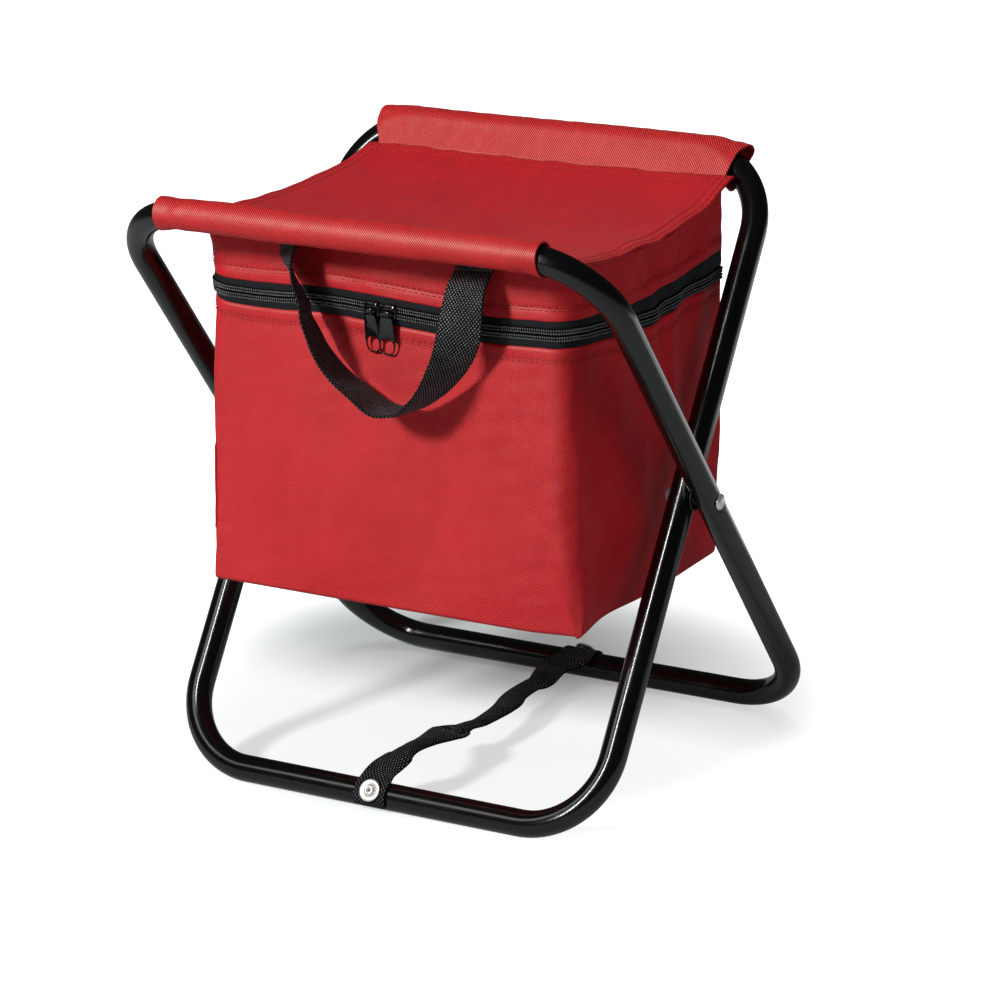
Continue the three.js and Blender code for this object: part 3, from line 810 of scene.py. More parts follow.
@dataclass(frozen=True)
class Nylon(Finish):
    """Moulded black nylon."""

    colour: Colour = srgb(0.075, 0.075, 0.08)
    roughness: float = 0.33

    def make(self) -> bpy.types.Material:
        """Builds the nylon with a soft grain.

        Returns:
            The material.
        """
        g = self.graph()
        grain = g.noise(g.place(), 1800.0, 2.0)
        return g.surface(
            Base_Color=g.blend(grain, srgb(0.03, 0.03, 0.033), self.colour),
            Roughness=grain * 0.12 + self.roughness,
            Normal=g.bump(grain, 0.00005, 0.5),
            Specular_IOR_Level=0.5,
        )


@dataclass(frozen=True)
class BareSteel(Finish):
    """Bright plated steel, slightly yellowed, with faint scuffs."""

    colour: Colour = srgb(0.93, 0.925, 0.91)
    dull: Colour = srgb(0.72, 0.71, 0.69)

    def make(self) -> bpy.types.Material:
        """Builds the steel with soft scuffs in colour and roughness.

        Returns:
            The material.
        """
        g = self.graph()
        place = g.place()
        scuff = g.noise(place, 320.0, 3.0).eased(0.5, 0.8)
        fine = g.noise(place, 3000.0, 1.0)
        return g.surface(
            Base_Color=g.blend(scuff * 0.5, self.colour, self.dull),
            Roughness=scuff * 0.1 + 0.3,
            Metallic=0.62,
            Normal=g.bump(fine, 0.00002, 0.4),
        )


@dataclass(frozen=True)
class Foam(Finish):
    """White closed-cell foam sheet."""

    light: Colour = srgb(0.94, 0.94, 0.92)
    shade: Colour = srgb(0.8, 0.8, 0.77)

    def make(self) -> bpy.types.Material:
        """Builds the foam from small rounded cells.

        Returns:
            The material.
        """
        g = self.graph()
        place = g.place()
        cells = g.node("ShaderNodeTexVoronoi", {"feature": "SMOOTH_F1"}, {"Vector": place, "Scale": 420.0})
        depth = Value(g, cells.outputs[0])
        return g.surface(
            Base_Color=g.blend(depth.eased(0.2, 0.9), self.light, self.shade),
            Roughness=0.8 - depth * 0.1,
            Normal=g.bump(depth * -1.0, 0.0004, 0.6),
            Specular_IOR_Level=0.3,
        )


@dataclass(frozen=True)
class Foil(Finish):
    """Silvery lining film, crinkled."""

    light: Colour = srgb(0.86, 0.87, 0.89)
    shade: Colour = srgb(0.66, 0.67, 0.7)

    def make(self) -> bpy.types.Material:
        """Builds the film with sharp crinkles.

        Returns:
            The material.
        """
        g = self.graph()
        place = g.place()
        inputs = {"Vector": place, "Scale": 70.0}
        cells = g.node("ShaderNodeTexVoronoi", {"feature": "DISTANCE_TO_EDGE"}, inputs)
        crease = Value(g, cells.outputs[0]).eased(0.0, 0.12)
        wave = g.noise(place, 120.0, 4.0)
        return g.surface(
            Base_Color=g.blend(wave.eased(0.35, 0.7), self.shade, self.light),
            Roughness=wave * 0.2 + 0.22,
            Metallic=0.4,
            Normal=g.bump(crease * 0.5 + wave, 0.001, 0.6),
        )


class Look(Enum):
    """The finishes of the stool."""

    CLOTH = Polyester("red_polyester", "red_fabric")
    # The sleeves' copy of the cloth, with darker painted shade between the threads for a stronger painted
    # contrast.
    SLEEVE = Polyester(
        "red_polyester_sleeve", "red_fabric", srgb(0.91, 0.15, 0.15), srgb(0.42, 0.0, 0.06), mottle=0.2
    )
    RED_THREAD = Polyester("red_thread", "red_fabric", srgb(0.84, 0.22, 0.2), srgb(0.6, 0.05, 0.07), 0.0009)
    # Webbing finishes: their thread colour is a painted glint on the raised floats.
    WEBBING = Webbing("black_webbing", "black_webbing")
    STRAP = Webbing(
        "strap_webbing_matte", "black_webbing", srgb(0.46, 0.46, 0.48), half=0.03, shine=0.12
    )
    BLACK_THREAD = Webbing("black_thread", "black_webbing", across=0.0008, along=0.0008, half=0.03)
    TAPE = ZipTape("zipper_tape", "black_webbing")
    CHAIN = Chain("zipper_chain", "black_nylon")
    PAINT = GlossPaint("gloss_black_tube", "black_paint")
    ENAMEL = Enamel("slider_enamel", "black_zinc")
    NYLON = Nylon("black_nylon", "black_nylon")
    STEEL = BareSteel("plated_steel", "bare_steel")
    FOAM = Foam("white_foam", "white_foam")
    FOIL = Foil("lining_foil", "foil_lining")


class Body(Enum):
    """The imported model's bodies."""

    INNER = "inner_frame"
    OUTER = "outer_frame"
    SEAT = "seat"
    BAG = "cooler_bag"
    SLIDER_LEFT = "slider_left"
    SLIDER_RIGHT = "slider_right"
    PULL_LEFT = "pull_left"
    PULL_RIGHT = "pull_right"
    HANDLE = "handle"


class Paintbox:
    """Makes each material once and hands it out."""

    def __init__(self) -> None:
        """Starts with none."""
        self._made: dict[Look, bpy.types.Material] = {}

    def dress(self, piece: Piece, look: Look) -> None:
        """Gives a piece a finish.

        Args:
            piece: The piece.
            look: The finish.
        """
        if look not in self._made:
            self._made[look] = look.value.make()
        piece.data.materials.clear()
        piece.data.materials.append(self._made[look])


@dataclass
class Fold:
    """Where soft pieces would gather towards the rear rail as the stool folds; no squash is built from it."""

    anchor: Point = (0.0, 0.101, 0.33)
    keep: float = 0.135

    def gather(self, piece: Piece) -> None:
        """Gives a piece, which already rides on its body, a mesh of its own; it is not squashed."""
        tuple(self.anchor)
        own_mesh(piece)


@dataclass
class Workshop:
    """What every sub-assembly works with."""

    paint: Paintbox = field(default_factory=Paintbox)
    fold: Fold = field(default_factory=Fold)

    def finish(
        self, piece: Piece, body: Body, look: Look, nodes: Sequence[str] = (), soft: bool = False
    ) -> None:
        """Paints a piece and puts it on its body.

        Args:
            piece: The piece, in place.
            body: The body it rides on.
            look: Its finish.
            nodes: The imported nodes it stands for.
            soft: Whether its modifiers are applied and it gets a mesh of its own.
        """
        self.paint.dress(piece, look)
        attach(piece, body.value)
        if nodes:
            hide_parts(*nodes)
        if soft:
            settled(piece)
            self.fold.gather(piece)
        LOG.info("%s rides on %s", piece.name, body.value)


# Stitching


@dataclass
class Stitches:
    """Rows of thread that lie on a surface.

    Attributes:
        length: Length of one stitch.
        gap: Distance from one stitch to the next.
        radius: Half the thread's thickness.
    """

    length: float = 0.0026
    gap: float = 0.0012
    radius: float = 0.00032

    def row(self, line: Array, normals: Array) -> tuple[Array, Array]:
        """Thread along one line: each stitch is p + r sqrt(1 - s^2) (cos a n + sin a b) for s from -1 to 1.

        Args:
            line: Points that the row follows.
            normals: The surface's outward direction at each.

        Returns:
            Vertices and faces.
        """
        count = max(1, int(lengths_along(line)[-1] / (self.length + self.gap)))
        shares = (np.arange(count) + 0.5) / count
        middles = resampled(line, shares)
        outward = unit(resampled(normals, shares))
        ahead, behind = (resampled(line, np.clip(shares + step / count, 0, 1)) for step in (0.2, -0.2))
        along = unit(ahead - behind)
        across = unit(np.cross(along, outward))
        s = np.array([-1.0, -0.8, -0.35, 0.35, 0.8, 1.0])
        a = np.linspace(0.0, 2.0 * math.pi, 6, endpoint=False)
        girth = np.sqrt(np.maximum(1.0 - s**2, 0.02))
        rings = (
            middles[:, None, None]
            + along[:, None, None] * (s * self.length / 2)[None, :, None, None]
            + outward[:, None, None] * (girth[:, None] * np.cos(a) * self.radius)[None, :, :, None]
            + across[:, None, None] * (girth[:, None] * np.sin(a) * self.radius * 1.3)[None, :, :, None]
        )
        sides, steps = len(a), len(s)
        i, j = np.meshgrid(np.arange(steps - 1), np.arange(sides), indexing="ij")
        near, far, beside = i * sides, (i + 1) * sides, (j + 1) % sides
        quads = np.stack([near + j, near + beside, far + beside, far + j], axis=-1).reshape(-1, 4)
        faces = (quads[None] + (np.arange(count) * sides * steps)[:, None, None]).reshape(-1, 4)
        return rings.reshape(-1, 3), faces

    def build(self, name: str, rows: Sequence[tuple[Array, Array]]) -> Piece:
        """Makes one object of several rows.

        Args:
            name: The object's name.
            rows: Lines and normals.

        Returns:
            The new object.
        """
        vertices: list[Array] = []
        faces: list[Array] = []
        start = 0
        for line, normals in rows:
            points, quads = self.row(line, normals)
            vertices.append(points)
            faces.append(quads + start)
            start += len(points)
        mesh = bpy.data.meshes.new(name)
        mesh.from_pydata(np.vstack(vertices).tolist(), [], np.vstack(faces).tolist())
        mesh.uv_layers.new(name="cloth")
        mesh.polygons.foreach_set("use_smooth", [True] * len(mesh.polygons))
        mesh.update()
        return placed(name, mesh)


# Frame of bent tubes


@dataclass
class Loop:
    """One bent tube loop.

    Attributes:
        half_width: Half the distance between its legs' middles.
        lean: 1 if it leans rearwards on its way up, -1 if forwards.
        top_height: Height of the top rail's middle.
        bottom_height: Height of the bottom rail's middle.
        top_spread: Distance of the top rail from the middle, front to rear.
        bottom_spread: The same of the bottom rail.
        bend: Radius of the bends.
    """

    half_width: float
    lean: int
    top_height: float = 0.3465
    bottom_height: float = 0.0079
    top_spread: float = 0.1195
    bottom_spread: float = 0.1165
    bend: float = 0.0485
    radius: float = 0.008

    @property
    def run(self) -> float:
        """Distance that the legs cover from front to rear."""
        return self.top_spread + self.bottom_spread

    @property
    def rise(self) -> float:
        """Height that the legs cover."""
        return self.top_height - self.bottom_height

    @property
    def length(self) -> float:
        """Length of the loop along its legs."""
        return math.hypot(self.run, self.rise)

    @property
    def pivot_height(self) -> float:
        """Height at which the legs cross."""
        return self.bottom_height + self.rise * self.bottom_spread / self.run

    def leg_direction(self) -> Array:
        """Unit direction up the legs, in Y and Z."""
        return np.array([self.lean * self.run, self.rise]) / self.length

    def place(self, across: Array, along: Array) -> Array:
        """Points of the loop's plane.

        Args:
            across: Distances across the legs.
            along: Distances up the legs from the bottom rail.

        Returns:
            Their places in the room.
        """
        share = along / self.length
        y = self.lean * (self.run * share - self.bottom_spread)
        return np.stack([across, y, self.bottom_height + self.rise * share], axis=-1)

    def path(self) -> tuple[Array, Array]:
        """The loop's middle line in its plane, with outward directions; closely spaced round the pivots.

        Returns:
            Points and directions, across and along the legs.
        """
        w, r, length = self.half_width, self.bend, self.length
        pivot = length * self.bottom_spread / self.run
        near = 0.014
        spans = ((r, pivot - near, 16), (pivot - near, pivot + near, 36), (pivot + near, length - r, 16))
        leg = np.concatenate([np.linspace(*span, endpoint=False) for span in spans])
        flat = np.linspace(-(w - r), w - r, 40, endpoint=False)
        turn = np.linspace(0.0, math.pi / 2, 26, endpoint=False)
        points: list[Array] = []
        outward: list[Array] = []

        def straight(across: Array, along: Array, direction: Pair) -> None:
            """Adds a straight run."""
            points.append(np.stack(np.broadcast_arrays(across, along), axis=1))
            outward.append(np.tile(direction, (max(np.size(across), np.size(along)), 1)))

        def corner(centre: Pair, start: float) -> None:
            """Adds a quarter bend."""
            around = np.stack([np.cos(start - turn), np.sin(start - turn)], axis=1)
            points.append(np.array(centre) + r * around)
            outward.append(around)

        straight(flat, np.array([length]), (0.0, 1.0))
        corner((w - r, length - r), math.pi / 2)
        straight(np.array([w]), np.concatenate([[length - r], leg[:0:-1]]), (1.0, 0.0))
        corner((w - r, r), 0.0)
        straight(-flat, np.array([0.0]), (0.0, -1.0))
        corner((-(w - r), r), -math.pi / 2)
        straight(np.array([-w]), leg, (-1.0, 0.0))
        corner((-(w - r), length - r), math.pi)
        return np.vstack(points), np.vstack(outward)

    def build(self, name: str, recess: float, sides: int = 44) -> Piece:
        """The tube, with a shallow dish round each pivot rivet on its outer side.

        A vertex at distance d from the rivet's middle moves in by recess * (1 - ease(d, 5.2 mm, 7.5 mm)).

        Args:
            name: The object's name.
            recess: Depth of the dish.
            sides: Faces round the tube.

        Returns:
            The new object.
        """
        flat, outward = self.path()
        middle = self.place(flat[:, 0], flat[:, 1])
        out3 = self.place(flat[:, 0] + outward[:, 0], flat[:, 1] + outward[:, 1]) - middle
        along = self.leg_direction()
        face = np.tile([0.0, -along[1] * self.lean, along[0] * self.lean], (len(flat), 1))
        angles = np.linspace(0.0, 2.0 * math.pi, sides, endpoint=False)
        bent = ease(np.abs(outward[:, 0] * outward[:, 1]), 0.0, 0.3)
        outline = np.stack([np.cos(angles), np.sin(angles)], axis=1) * self.radius
        grid = sweep(middle, unit(out3), face, outline)
        inner = np.minimum(np.cos(angles), 0.0)
        grid -= unit(out3)[:, None] * (bent[:, None] * inner * self.radius * 0.05)[..., None]
        reach = np.hypot(grid[..., 1], grid[..., 2] - self.pivot_height)
        past = np.abs(grid[..., 0]) - self.half_width
        dish = recess * (1.0 - ease(reach, 0.0052, 0.0075)) * ease(past, self.radius * 0.4, self.radius)
        grid[..., 0] -= np.sign(grid[..., 0]) * dish
        return Grid(grid, wrap_rows=True).build(name)


@dataclass
class Frame:
    """Both tube loops with their rivets and washers."""

    shop: Workshop
    inner: Loop = field(default_factory=lambda: Loop(0.1418, 1))
    outer: Loop = field(default_factory=lambda: Loop(0.1588, -1))

    def build(self) -> None:
        """Builds the loops, then the pivots."""
        inner = self.inner.build("inner_loop", 0.0)
        self.shop.finish(inner, Body.INNER, Look.PAINT, ["inner_frame_tube"])
        outer = self.outer.build("outer_loop", 0.0006)
        self.shop.finish(outer, Body.OUTER, Look.PAINT, ["outer_frame_tube"])
        for side, label in ((-1, "left"), (1, "right")):
            self._pivot(side, label)

    def _pivot(self, side: int, label: str) -> None:
        """One pivot: a domed rivet head outside, a formed tail inside, and a washer between the loops.

        Args:
            side: -1 on the left, 1 on the right.
            label: The side's name.
        """
        face = self.outer.half_width + self.outer.radius - 0.0006
        tail = self.inner.half_width - self.inner.radius - 0.0003
        head = [
            (0.00001, face + 0.0021), (0.0014, face + 0.00205), (0.0027, face + 0.0018),
            (0.0038, face + 0.0013), (0.0045, face + 0.0007), (0.0048, face + 0.0001),
            (0.0047, face - 0.0002), (0.0025, face - 0.0003), (0.0025, tail + 0.0001), (0.0041, tail),
            (0.0042, tail - 0.0006), (0.0034, tail - 0.0013), (0.0016, tail - 0.0016),
            (0.0009, tail - 0.0009), (0.00001, tail - 0.0008),
        ]
        middle = (0.0, 0.0, self.inner.pivot_height)
        rivet = turned(head, middle, (side, 0, 0), f"pivot_rivet_head_{label}")
        self.shop.finish(rivet, Body.INNER, Look.STEEL, [f"pivot_rivet_{label}"])
        low = self.inner.half_width + self.inner.radius + 0.0001
        high = self.outer.half_width - self.outer.radius - 0.0001
        ring = [(0.0028, low), (0.0073, low), (0.0075, low + 0.0002), (0.0075, high - 0.0002)]
        ring += [(0.0073, high), (0.0028, high), (0.0028, low)]
        washer = turned(ring, middle, (side, 0, 0), f"pivot_washer_ring_{label}")
        self.shop.finish(washer, Body.INNER, Look.NYLON, [f"pivot_washer_{label}"])


# Seat


@dataclass
class Seat:
    """The sling seat: a cloth panel between a sleeve on each top rail.

    Attributes:
        half_width: Half the cloth's width.
        thickness: The hemmed cloth's thickness.
        cloth_radius: Outer radius of a sleeve round its rail.
        front_tail: Y and Z of the front sleeve's seam.
        rear_tail: The same of the rear sleeve.
        curve: Bezier points of the seat's line from front to rear.
        left_lift: How far the left edge stands above that line, by Y.
        right_lift: The same of the right edge.
        lip: How much of the width the rear sleeve's lower lip covers.
    """

    shop: Workshop
    frame: Frame
    half_width: float = 0.126
    thickness: float = 0.0016
    cloth_radius: float = 0.0095
    front_tail: Pair = (-0.1035, 0.3412)
    rear_tail: Pair = (0.101, 0.3352)
    curve: Knots = (
        (-0.1042, 0.3424), (-0.0659, 0.3204), (0.0599, 0.3256), (0.1007, 0.3360),
    )
    left_lift: Knots = (
        (-0.104, 0.0), (-0.080, 0.0030), (-0.052, 0.0052), (-0.027, 0.0046), (0.007, 0.0031),
        (0.038, 0.0020), (0.070, 0.0010), (0.104, 0.0003),
    )
    right_lift: Knots = (
        (-0.104, 0.0), (-0.060, -0.0010), (-0.032, -0.0015), (-0.013, -0.0006), (0.009, -0.0034),
        (0.032, -0.0022), (0.068, -0.0012), (0.088, 0.0027), (0.104, 0.0030),
    )
    lip: float = 0.119 / 0.126

    def height(self, y: Array | float) -> Array:
        """Height of the seat's top line at a place between front and rear, from a cubic Bezier curve.

        Args:
            y: The place.

        Returns:
            Its height.
        """
        t = np.linspace(0.0, 1.0, 400)[:, None]
        a, b, c, d = (np.array(p) for p in self.curve)
        line = (1 - t) ** 3 * a + 3 * (1 - t) ** 2 * t * b + 3 * (1 - t) * t**2 * c + t**3 * d
        return np.interp(y, line[:, 0], line[:, 1])

    def surface(self, x: Array, y: Array) -> Array:
        """The seat's top: its line, the edges' lifts by (|x| / half width)^2.5, ripples, stitched dents.

        Args:
            x: Places across.
            y: Places from front to rear.

        Returns:
            Their points.
        """
        flat = np.stack([x, y], axis=-1)
        edge = self.half_width - np.abs(x)
        reach = np.clip(np.abs(x) / self.half_width, 0.0, 1.0) ** 2.5
        lift = np.where(x < 0.0, curve_at(self.left_lift, y), curve_at(self.right_lift, y)) * reach
        z = self.height(y) + lift + 0.00045 * ripple(flat, 0.07, 3) + 0.00025 * ripple(flat, 0.022, 4)
        lumps = 0.0004 * ripple(flat, 0.016, 5) * ease(edge, 0.012, 0.0) * ease(x, 0.0, 0.1)
        z = z - 0.0004 * (1.0 - ease(edge, 0.0, 0.004)) + lumps
        z = z - 0.0003 * (bell(edge, 0.0035, 0.0009) + bell(edge, 0.0085, 0.0009))
        z = z - 0.0012 * ease(np.abs(x), 0.05, 0.0) * bell(y, -0.01, 0.06)
        return np.stack([x, y, z], axis=-1)

    def build(self) -> None:
        """Builds the panel, both sleeves and their stitching."""
        self._panel()
        self._front_sleeve()
        self._rear_sleeve()
        self._stitching()

    def _panel(self) -> None:
        """The panel itself, a stretched sheet with a hem."""
        x = np.linspace(-self.half_width, self.half_width, 150)
        y = np.linspace(self.curve[0][0], self.curve[-1][0], 130)
        columns, rows = np.meshgrid(x, y)
        points = self.surface(columns, rows)
        sheet = Grid(points, wrap_columns=False, facing=(0, 0, 1)).build("seat_cloth")
        thickened(sheet, self.thickness)
        self.shop.finish(sheet, Body.SEAT, Look.CLOTH, ["seat_panel"], soft=True)
        flat = (2 * self.half_width, float(lengths_along(points[:, 0])[-1]))

    def _front_sleeve(self) -> None:
        """The front sleeve: snug round the rail, tight at its mouths."""
        loop = self.frame.outer
        leg = -loop.leg_direction()
        tail = np.array([[*self.front_tail, self.thickness / 2 + 0.0002]])
        rows = []
        for x in self._stations():
            drop = self._drop(loop, abs(x))
            near = float(ease(abs(x), self.half_width - 0.02, self.half_width))
            rail = np.array([[-loop.top_spread, loop.top_height, self.cloth_radius - 0.0002 * near]])
            lower = rail + np.array([[*(leg * drop), 0.0002]])
            outline = round_hull(np.vstack([rail, lower, tail]), 84, -0.25)
            rows.append(np.column_stack([np.full(len(outline), x), outline]))
        self._sleeve("front_sleeve_cloth", np.array(rows), Body.OUTER, "front_sleeve", 11)

    def _rear_sleeve(self) -> None:
        """The rear sleeve: loose behind its seam, with lower lips cut short; its right mouth gapes."""
        loop = self.frame.inner
        leg = -loop.leg_direction()
        tail = np.array([[*self.rear_tail, self.thickness / 2 + 0.0002]])
        rows = []
        for x in self._stations():
            gape = 0.0022 * float(ease(x, 0.100, self.half_width))
            drop = self._drop(loop, abs(x) * self.lip) + 0.0006 + gape
            droop = (0.0030 if x > 0.0 else 0.0015) * float(ease(abs(x), 0.104, self.half_width))
            rail = np.array([[loop.top_spread, loop.top_height - droop, self.cloth_radius]])
            lower = rail + np.array([[*(leg * drop + np.array([0.0, droop])), 0.0004 + gape * 0.3]])
            outline = round_hull(np.vstack([rail, lower, tail]), 96, math.pi + 0.3)
            low = 1.0 - ease(outline[:, 1], 0.333, 0.350)
            forward = 1.0 - ease(outline[:, 0], 0.110, 0.120)
            short = (1.0 - self.lip) * low + (0.028 * forward * (1.0 - low) if x > 0.0 else 0.0)
            rows.append(np.column_stack([x * (1.0 - short), outline]))
        piece = self._sleeve("rear_sleeve_cloth", np.array(rows), None, "rear_sleeve", 23)
        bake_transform(piece)

    def _stations(self) -> Array:
        """Stations from mouth to mouth, closer together at the mouths."""
        spread = self.half_width * (1.0 - np.linspace(0.0, 1.0, 70, endpoint=False) ** 1.5)
        return np.concatenate([-spread, spread[::-1]])

    def _drop(self, loop: Loop, x: float) -> float:
        """How far down the leg the tube's underside has bent at a distance from the middle.

        Args:
            loop: The loop.
            x: The distance.

        Returns:
            How far down.
        """
        past = max(0.0, x - (loop.half_width - loop.bend))
        inside = loop.bend - loop.radius
        return inside - math.sqrt(max(inside**2 - past**2, 0.0))

    def _sleeve(self, name: str, points: Array, body: Body | None, node: str, seed: int) -> Piece:
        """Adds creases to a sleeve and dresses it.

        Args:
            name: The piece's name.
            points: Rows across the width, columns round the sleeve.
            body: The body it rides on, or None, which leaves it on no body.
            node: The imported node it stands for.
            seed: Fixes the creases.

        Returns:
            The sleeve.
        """
        middle = points.mean(axis=1, keepdims=True)
        outward = unit((points - middle) * np.array([0.0, 1.0, 1.0]))
        mouth = bell(self.half_width - np.abs(points[..., 0]), 0.006, 0.014)
        creases = ripple(points * np.array([2.2, 1.0, 1.0]), 0.03, seed) * (0.00012 + 0.00030 * mouth)
        slack = ripple(points, 0.09, seed + 1) * 0.0003
        piece = Grid(points + outward * (creases + slack)[..., None]).build(name)
        thickened(piece, CLOTH_THICKNESS)
        around = float(lengths_along(points[70])[-1])
        if body is None:
            self.shop.paint.dress(piece, Look.SLEEVE)
            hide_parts(node)
        else:
            self.shop.finish(piece, body, Look.SLEEVE, [node])
        return piece

    def _stitching(self) -> None:
        """Double rows along the side hems and below the rear seam, and one row on the flap above it."""
        y = np.linspace(-0.098, 0.0985, 160)
        up = np.tile([0.0, 0.0, 1.0], (len(y), 1))
        lift = np.array([0.0, 0.0, 0.00022])
        rows = []
        for side in (-1, 1):
            for inset in (0.0035, 0.0085):
                line = self.surface(np.full(len(y), side * (self.half_width - inset)), y)
                rows.append((line + lift, up))
        x = np.linspace(-self.half_width + 0.003, self.half_width - 0.003, 160)
        up = np.tile([0.0, 0.0, 1.0], (len(x), 1))
        for place in (0.0985, 0.0925):
            rows.append((self.surface(x, np.full(len(x), place)) + lift, up))
        thread = Stitches().build("seat_stitches", rows)
        self.shop.finish(thread, Body.SEAT, Look.RED_THREAD, soft=True)


# Bag


@dataclass
class BagForm:
    """The bag's outer form: a rounded box that leans, sags and is dented at its sides.

    Attributes:
        half_width: Half the bag's width.
        front: Y of the front face at seat level.
        rear: Y of the rear face at seat level.
        top: Seat level.
        bottom: Height of the bag's floor.
        lean: How far the bottom stands forward of the top.
        zip_height: Height of the zipper's middle before it waves.
        heights: Heights at which the corner radii are given.
        corners: Radii of the front left, front right, rear right and rear left corners at those heights.
        zip_waves: How far the zipper runs above its height, by length from the front's middle.
        tape_above: How far its dark band reaches above its middle, by the same length.
        tape_below: How far it reaches below.
    """

    half_width: float = 0.125
    front: float = -0.082
    rear: float = 0.089
    top: float = 0.330
    bottom: float = 0.1155
    lean: float = 0.012
    zip_height: float = 0.291
    heights: tuple[float, ...] = (0.1155, 0.16, 0.20, 0.24, 0.291, 0.333)
    corners: Knots = (
        (0.0020, 0.0020, 0.0030, 0.0080, 0.0210, 0.0125),
        (0.0040, 0.0150, 0.0175, 0.0190, 0.0205, 0.0200),
        (0.0120, 0.0080, 0.0060, 0.0050, 0.0040, 0.0035),
        (0.0080, 0.0080, 0.0080, 0.0080, 0.0080, 0.0080),
    )
    zip_waves: Knots = (
        (-0.415, -0.0025), (-0.300, -0.0010), (-0.220, 0.0004), (-0.170, 0.0008), (-0.135, 0.0030),
        (-0.115, 0.0022), (-0.092, 0.0014), (-0.070, 0.0022), (-0.045, 0.0036), (0.000, 0.0022),
        (0.032, 0.0004), (0.065, -0.0012), (0.112, -0.0006), (0.150, -0.0030), (0.175, -0.0072),
        (0.195, -0.0084), (0.220, -0.0078), (0.250, -0.0073), (0.265, -0.0075), (0.290, -0.0060),
        (0.345, -0.0030), (0.415, -0.0025),
    )
    tape_above: Knots = (
        (-0.300, 0.0070), (-0.140, 0.0070), (0.000, 0.0072), (0.120, 0.0074), (0.165, 0.0096),
        (0.200, 0.0112), (0.240, 0.0110), (0.265, 0.0130), (0.290, 0.0140),
    )
    tape_below: Knots = (
        (-0.300, 0.0060), (-0.150, 0.0042), (-0.132, 0.0044), (-0.105, 0.0070), (0.000, 0.0074),
        (0.120, 0.0074), (0.190, 0.0056), (0.225, 0.0058), (0.243, 0.0040), (0.265, 0.0040),
        (0.290, 0.0040),
    )

    def columns(self, fronts: int, sides: int, corners: int) -> Columns:
        """Columns round the bag from the rear's middle.

        Args:
            fronts: Columns on the front and on the rear.
            sides: Columns on each side.
            corners: Columns in each corner.

        Returns:
            across (-1..1), deep (0 front..1 rear), nx, ny, and q, the length from the front's middle.
        """
        half = np.linspace(0.0, 1.0, fronts // 2 + 1)[:-1]
        full = np.linspace(-1.0, 1.0, fronts + 1)[:-1]
        turn = np.linspace(0.0, math.pi / 2, corners + 1)[:-1]
        down = np.linspace(1.0, 0.0, sides + 1)[:-1]
        quarter = math.pi / 2
        parts = (
            (-half, 1.0, quarter),
            (-1.0, 1.0, quarter + turn),
            (-1.0, down, 2 * quarter),
            (-1.0, 0.0, 2 * quarter + turn),
            (full, 0.0, 3 * quarter),
            (1.0, 0.0, 3 * quarter + turn),
            (1.0, 1.0 - down, 0.0),
            (1.0, 1.0, turn),
            (1.0 - half, 1.0, quarter),
        )
        spread = [np.broadcast_arrays(*part) for part in parts]
        across, deep, angle = (np.concatenate([part[k] for part in spread]) for k in range(3))
        table = {"across": across, "deep": deep, "nx": np.cos(angle), "ny": np.sin(angle)}
        xy = self._plan(table, np.full(len(across), self.zip_height), 0.0)
        ring = np.vstack([xy, xy[:1]])
        length = lengths_along(ring)
        table["length"] = length
        table["q"] = length[:-1] - length[-1] / 2
        return table

    def corner(self, table: Columns, z: Array) -> Array:
        """Corner radius: read for the four corners at each height, and blended round the bag.

        Args:
            table: The columns.
            z: Heights.

        Returns:
            The radius for each of them.
        """
        radii = [curve_at(list(zip(self.heights, corner)), z) for corner in self.corners]
        right = (table["across"] + 1.0) / 2.0
        front = radii[0] * (1.0 - right) + radii[1] * right
        rear = radii[3] * (1.0 - right) + radii[2] * right
        return front * (1.0 - table["deep"]) + rear * table["deep"]

    def _plan(self, table: Columns, z: Array, inset: float) -> Array:
        """X and Y of the rounded rectangle at a height, drawn in by an inset.

        Args:
            table: The columns.
            z: Heights.
            inset: Distance inside the outer face.

        Returns:
            Pairs of X and Y.
        """
        shift = -self.lean * (self.top - z) / (self.top - self.bottom)
        radius = self.corner(table, z)
        if inset > 0.0:
            radius = np.maximum(radius, inset + 0.012)
        x = table["across"] * (self.half_width - radius) + (radius - inset) * table["nx"]
        front = self.front + shift + radius
        rear = self.rear + shift - radius
        y = front + (rear - front) * table["deep"] + (radius - inset) * table["ny"]
        return np.stack([x, y], axis=-1)

    def swell(self, table: Columns, xy: Array, z: Array) -> Array:
        """How far the cloth stands out of the plain form.

        It is a pillow in front, a dent at each side's foot, upright folds in the right side's band, long
        slack folds below, and ripples that fade towards the bottom edge.

        Args:
            table: The columns.
            xy: Places in the plain form.
            z: Their heights.

        Returns:
            The distance outwards.
        """
        x, y = xy[..., 0], xy[..., 1]
        share = np.clip((z - self.bottom) / (self.top - self.bottom), 0.0, 1.0)
        forward = np.clip(-table["ny"], 0.0, 1.0)
        sideways = np.abs(table["nx"])
        rightward = np.clip(table["nx"], 0.0, 1.0)
        foot = ease(z, self.bottom, self.bottom + 0.02)
        pillow = 0.0016 * (1.0 - (x / self.half_width) ** 2) * np.sin(math.pi * share) * forward
        dent = -0.0062 * bell(y, -0.052, 0.030) * (1.0 - ease(z, 0.125, 0.21)) * (rightward * 0.85 + 0.15)
        dent = dent - 0.0052 * bell(y, -0.078, 0.036) * ease(z, 0.14, 0.19) * rightward
        foot_push = 0.0046 * ease(x, 0.086, 0.128) * (1.0 - ease(z, 0.125, 0.165)) * forward
        dent = dent - 0.0018 * bell(y, 0.01, 0.05) * bell(z, 0.20, 0.05)
        pleats = 0.0020 * (bell(y, -0.014, 0.0055) + bell(y, 0.023, 0.0055) - 0.7 * bell(y, 0.004, 0.009))
        pleats = pleats * ease(z, 0.293, 0.308) * rightward
        points = np.stack([x, y, z], axis=-1)
        long = 0.0016 * ripple(points * np.array([0.6, 1.0, 0.35]), 0.036, 44) * rightward
